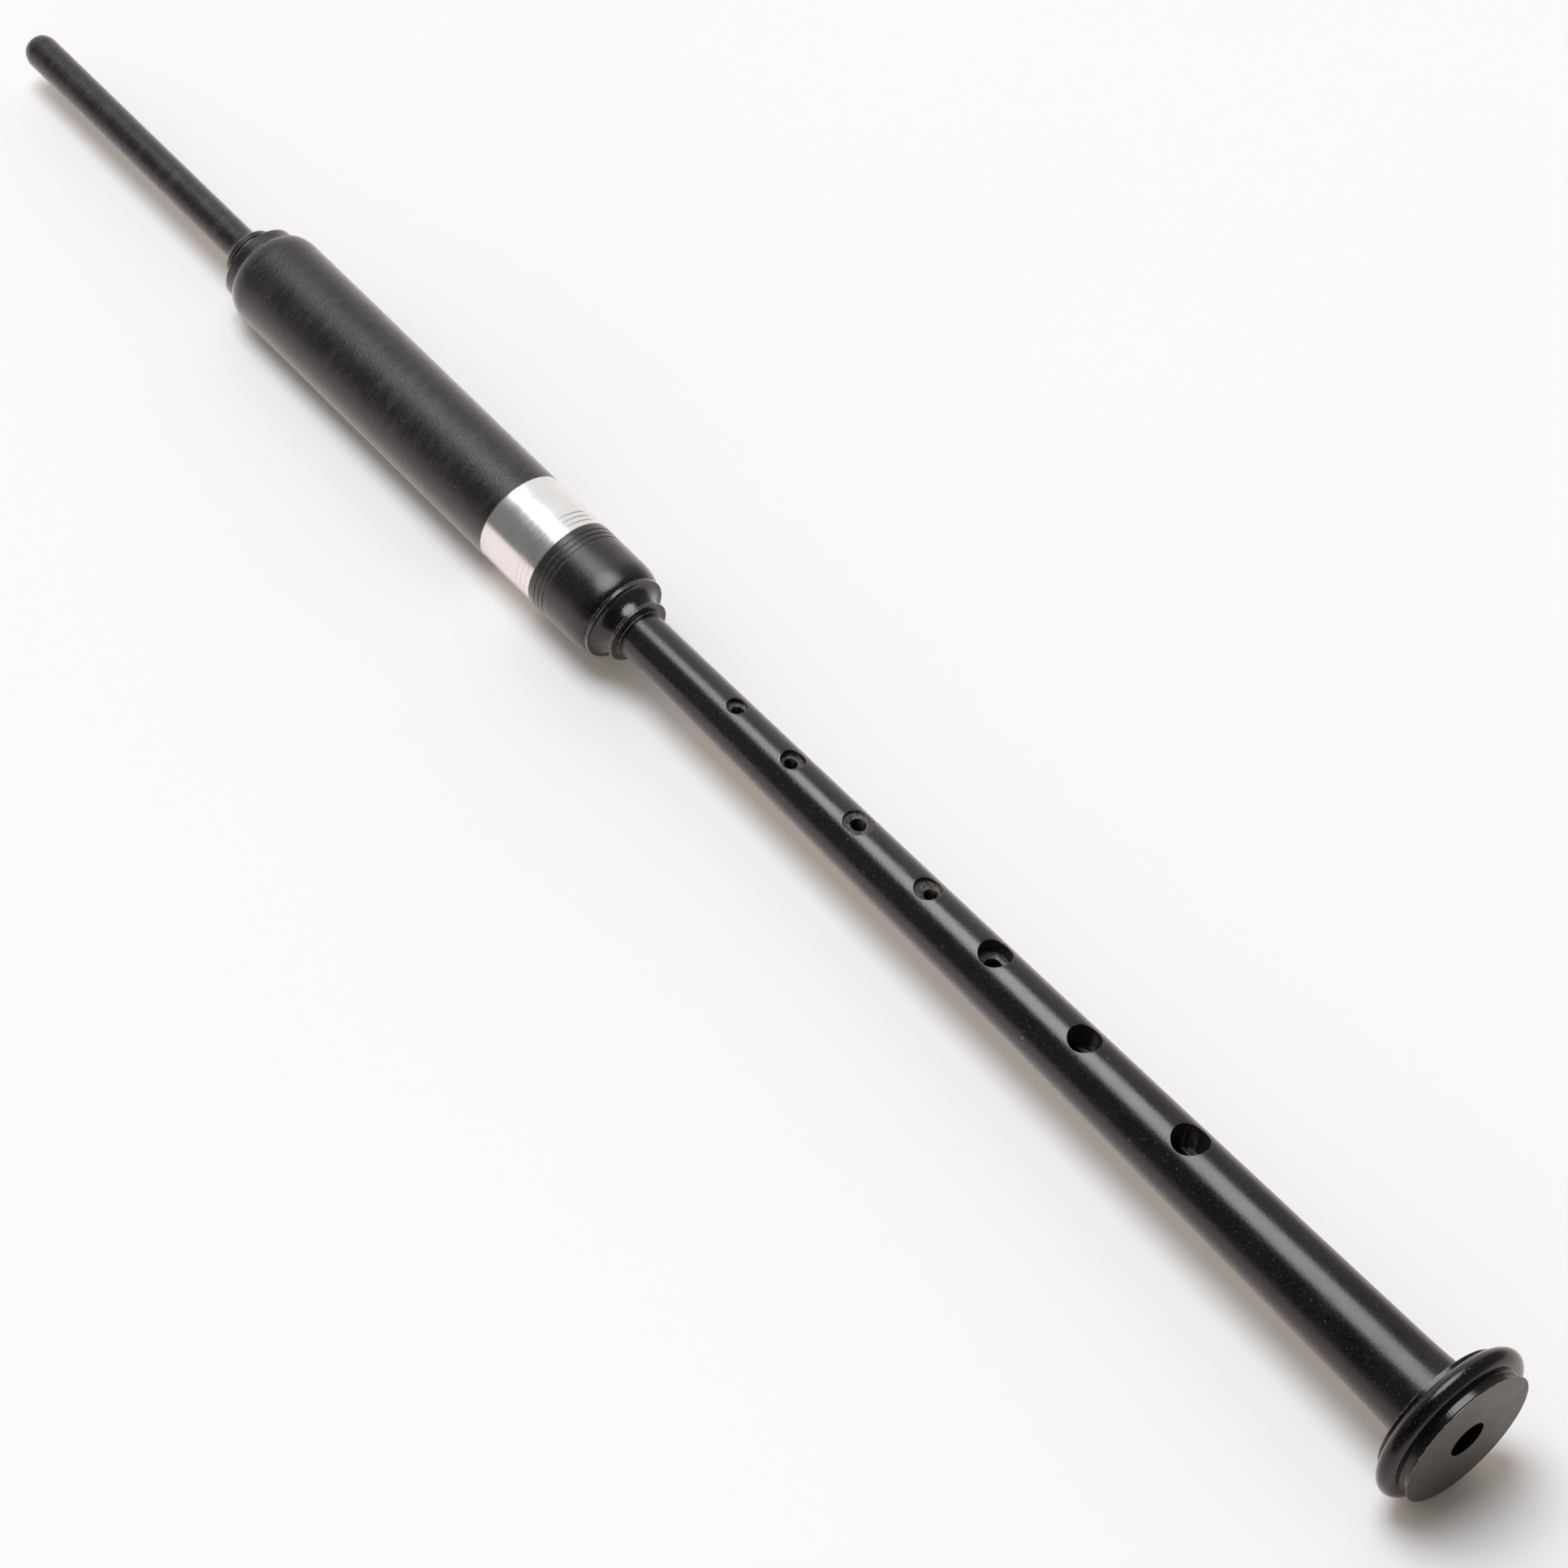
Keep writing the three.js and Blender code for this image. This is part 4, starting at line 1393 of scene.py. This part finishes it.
def blade_mesh(name, side, material):
    """One blade: half a tube round the staple that flattens and widens to the tip."""
    reed = settings().reed
    work = bmesh.new()
    grids = []
    for inside in (False, True):
        grid = []
        for step in range(BLADE_STEPS + 1):
            along = step / BLADE_STEPS
            half_width, height, wall = blade_section(along)
            if inside:
                half_width, height = half_width - wall, height - wall
            place = BLADE_ROOT + (REED_TIP - BLADE_ROOT) * along
            row = []
            for part in range(BLADE_ARC_STEPS + 1):
                angle = math.pi * part / BLADE_ARC_STEPS
                rise = reed.edge_gap / 2 + height * math.sin(angle)
                point = (place, half_width * math.cos(angle), AXIS_HEIGHT + side * rise)
                row.append(work.verts.new(point))
            grid.append(row)
        grids.append(grid)
    outer, inner = grids
    for step in range(BLADE_STEPS):
        for part in range(BLADE_ARC_STEPS):
            for grid in grids:
                corners = (grid[step][part], grid[step + 1][part])
                across = (grid[step + 1][part + 1], grid[step][part + 1])
                work.faces.new(corners + across)
        for part in (0, BLADE_ARC_STEPS):
            work.faces.new(
                (outer[step][part], inner[step][part], inner[step + 1][part], outer[step + 1][part])
            )
    for step in (0, BLADE_STEPS):
        for part in range(BLADE_ARC_STEPS):
            work.faces.new(
                (outer[step][part], outer[step][part + 1], inner[step][part + 1], inner[step][part])
            )
    mesh = mesh_of(work, name, material)
    shade(mesh)
    return mesh


def bridle_mesh(name, material):
    """An oval band with a round section that hugs the blades."""
    reed = settings().reed
    low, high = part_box("reed_bridle")
    middle = (low.x + high.x) / 2
    thickness = reed.bridle_thickness / 2
    across = (high.y - low.y) / 2 - thickness
    up = (high.z - low.z) / 2 - thickness
    half_length = (high.x - low.x) / 2
    work = bmesh.new()
    rings = []
    for step in range(BRIDLE_STEPS):
        angle = 2 * math.pi * step / BRIDLE_STEPS
        outward = Vector((math.cos(angle) / across, math.sin(angle) / up)).normalized()
        ring = []
        for part in range(BRIDLE_SECTION_STEPS):
            turn = 2 * math.pi * part / BRIDLE_SECTION_STEPS
            lift = thickness * math.cos(turn)
            point = (
                middle + half_length * math.sin(turn),
                across * math.cos(angle) + outward.x * lift,
                AXIS_HEIGHT + up * math.sin(angle) + outward.y * lift,
            )
            ring.append(work.verts.new(point))
        rings.append(ring)
    for step in range(BRIDLE_STEPS):
        here, there = rings[step], rings[(step + 1) % BRIDLE_STEPS]
        for part in range(BRIDLE_SECTION_STEPS):
            after = (part + 1) % BRIDLE_SECTION_STEPS
            work.faces.new((here[part], here[after], there[after], there[part]))
    mesh = mesh_of(work, name, material)
    shade(mesh)
    return mesh


class CHANTER_OT_reed(bpy.types.Operator):
    """Make the reed: staple, two blades and bridle"""

    bl_idname = "chanter.reed"
    bl_label = "Make Reed"

    def execute(self, context):
        sizes = settings().reed
        colours = settings().colours
        radius = sizes.staple_diameter / 2
        tube = [
            (STAPLE_TOP, radius - sizes.staple_wall),
            (STAPLE_TOP, radius),
            (STAPLE_FOOT, radius),
            (STAPLE_FOOT, radius - sizes.staple_wall),
        ]
        brass = material_named("drawn brass", brass_finish, colours.brass)
        outline = eased(tube, sizes.staple_wall / 4)
        segments = SMALL_TURN_SEGMENTS
        turn_piece("staple_tube", "reed_staple", "reed", outline, [brass], None, segments)
        cane = material_named("scraped cane", cane_finish, colours.cane)
        for label, side in (("upper", 1), ("lower", -1)):
            piece = new_object("blade_" + label, blade_mesh("blade_" + label, side, cane))
            stand_for(piece, "reed_blade_" + label, "reed")
        rubber = material_named("band rubber", rubber_finish, colours.rubber)
        bridle = new_object("bridle_band", bridle_mesh("bridle_band", rubber))
        stand_for(bridle, "reed_bridle", "reed_bridle")
        return {"FINISHED"}


# Studio


class CHANTER_OT_studio(bpy.types.Operator):
    """Set the table top, the lights and the camera"""

    bl_idname = "chanter.studio"
    bl_label = "Set Studio"

    def table_material(self):
        """White, a little uneven. Reflections see it with a painted warm tint of shade, and its
        near part painted dark, where the light ends.
        """
        material = bpy.data.materials.new("white table")
        tree = emptied_tree(material)
        place = object_place(tree)
        grain = noise(tree, place, (900, 900, 900), 3)
        clouds = noise(tree, place, (6, 6, 6), 2)
        white = settings().colours.floor
        top = mixed(tree, clouds, rgba(white), rgba(white, 0.985))
        sides = split(tree, place)
        bend = spread(tree, sides["X"], *PAINTED_DARK_REFLECTION_BEND, 0.0, PAINTED_DARK_REFLECTION_BEND_OFFSET)
        across = math_node(tree, "ADD", sides["Y"], bend)
        # Only reflections see these: a painted warm tint standing in for warm shade, and painted
        # dark beyond a bending edge, where the light ends
        reflected = add(tree, "ShaderNodeLightPath").outputs["Is Glossy Ray"]
        painted_dark_reflection = math_node(tree, "MULTIPLY", reflected, spread(tree, across, *PAINTED_DARK_REFLECTION_EDGE, 1.0, 0.0))
        top_with_painted_warm_reflection = mixed(tree, reflected, top, PAINTED_WARM_REFLECTION)
        finish_material(
            tree,
            {
                "Base Color": mixed(tree, painted_dark_reflection, top_with_painted_warm_reflection, rgba(white, PAINTED_DARK_REFLECTION_LEVEL)),
                "Roughness": spread(tree, grain, 0.3, 0.7, 0.38, 0.46),
                "Specular IOR Level": 0.05,
            },
        )
        return material

    def table_top(self):
        """A large table top that touches the sole's bead and the sleeve's shoulder."""
        sole = settings().sole
        sole_radius = sole.bead_diameter / 2
        sole_place = SOLE_START + sole.back_width
        sole_place += sole.bead_width * sole.crown_share
        sleeve_place = SLEEVE_START + settings().top_section.shoulder_length
        slope = (radius_of_rod() - sole_radius) / (sole_place - sleeve_place)
        corners = []
        for side_x, side_y in ((-1, -1), (1, -1), (1, 1), (-1, 1)):
            x, y = side_x * TABLE_REACH, side_y * TABLE_REACH
            corners.append((x, y, AXIS_HEIGHT - sole_radius + slope * (x - sole_place)))
        mesh = bpy.data.meshes.new("table_top")
        mesh.from_pydata(corners, [], [(0, 1, 2, 3)])
        mesh.materials.append(self.table_material())
        new_object("table_top", mesh)

    def surround(self):
        """A warm surround, brightest behind the mouthpiece, and its darker reflection."""
        world = bpy.data.worlds.new("surround")
        bpy.context.scene.world = world
        tree = emptied_tree(world)
        path = add(tree, "ShaderNodeLightPath").outputs
        towards = split(tree, add(tree, "ShaderNodeTexCoord").outputs["Generated"])
        fill = math_node(
            tree,
            "ADD",
            spread(tree, towards["Y"], -1.0, 0.0, 0.55, 0.0),
            spread(tree, towards["Y"], 0.0, 1.0, 0.0, 0.26),
            spread(tree, towards["X"], -1.0, 0.0, 1.5, 0.0),
        )
        fill = math_node(tree, "MULTIPLY", fill, settings().studio.surround)
        side = math_node(
            tree,
            "ADD",
            spread(tree, towards["Y"], -0.62, -0.25, 0.22, 0.6),
            spread(tree, towards["Y"], -0.25, -0.15, 0.0, 0.4),
        )
        along = spread(tree, towards["X"], -0.48, -0.31, 0.92, 0.24)
        lit = background(tree, SURROUND_COLOUR, fill)
        reflected = background(tree, REFLECTED_COLOUR, math_node(tree, "MULTIPLY", side, along))
        backdrop = background(tree, BACKDROP_COLOUR, BACKDROP_LEVEL)
        unseen = either(tree, path["Is Glossy Ray"], lit, reflected)
        shown = either(tree, path["Is Camera Ray"], unseen, backdrop)
        add(tree, "ShaderNodeOutputWorld", {"Surface": shown})

    def lights(self):
        """An overhead key for the table, and a softbox that only draws the long highlight."""
        studio = settings().studio
        key_data = bpy.data.lights.new("key", "SUN")
        key_data.energy = studio.key_strength
        key_data.angle = KEY_ANGLE
        key_data.color = KEY_COLOUR
        key = new_object("key", key_data)
        key.rotation_mode = "QUATERNION"
        key.rotation_quaternion = Vector(KEY_DIRECTION).to_track_quat("-Z", "Y")
        key.visible_glossy = False
        box_data = bpy.data.lights.new("softbox", "AREA")
        box_data.shape = "DISK"
        box_data.size = SOFTBOX_DIAMETER
        box_data.energy = studio.softbox_power
        softbox = new_object("softbox", box_data)
        softbox.location = SOFTBOX_PLACE
        softbox.visible_diffuse = False

    def camera(self):
        studio = settings().studio
        data = bpy.data.cameras.new("camera")
        data.lens = studio.lens
        data.sensor_width = SENSOR_WIDTH
        data.clip_start = CLIP_NEAR
        data.clip_end = CLIP_FAR
        camera = new_object("camera", data)
        camera.location = studio.camera_place
        sight = Vector(studio.camera_aim) - Vector(studio.camera_place)
        level = sight.to_track_quat("-Z", "Y")
        camera.rotation_mode = "QUATERNION"
        camera.rotation_quaternion = level @ Quaternion((0, 0, 1), studio.camera_roll)
        bpy.context.scene.camera = camera

    def execute(self, context):
        self.table_top()
        self.surround()
        self.lights()
        self.camera()
        context.scene.view_settings.view_transform = "Standard"
        return {"FINISHED"}


OPERATORS = (
    CHANTER_OT_mouthpiece,
    CHANTER_OT_top_section,
    CHANTER_OT_ferrule,
    CHANTER_OT_body,
    CHANTER_OT_sole,
    CHANTER_OT_windings,
    CHANTER_OT_reed,
    CHANTER_OT_studio,
)


class CHANTER_PT_panel(bpy.types.Panel):
    """Lists the steps that make the chanter"""

    bl_idname = "CHANTER_PT_panel"
    bl_label = "Practice Chanter"
    bl_space_type = "VIEW_3D"
    bl_region_type = "UI"
    bl_category = "Chanter"

    def draw(self, context):
        for operator in OPERATORS:
            self.layout.operator(operator.bl_idname)


CLASSES = (
    RodSizes,
    MouthpieceSizes,
    TopSectionSizes,
    BodySizes,
    SoleSizes,
    ReedSizes,
    FinishColours,
    StudioSettings,
    ChanterSettings,
    *OPERATORS,
    CHANTER_PT_panel,
)


def register():
    for item in CLASSES:
        bpy.utils.register_class(item)
    bpy.types.Scene.chanter = bpy.props.PointerProperty(type=ChanterSettings)


def unregister():
    del bpy.types.Scene.chanter
    for item in reversed(CLASSES):
        bpy.utils.unregister_class(item)


def main():
    register()
    bpy.ops.chanter.mouthpiece()
    bpy.ops.chanter.top_section()
    bpy.ops.chanter.ferrule()
    bpy.ops.chanter.body()
    bpy.ops.chanter.sole()
    bpy.ops.chanter.windings()
    bpy.ops.chanter.reed()
    bpy.ops.chanter.studio()


if __name__ == "__main__":
    main()
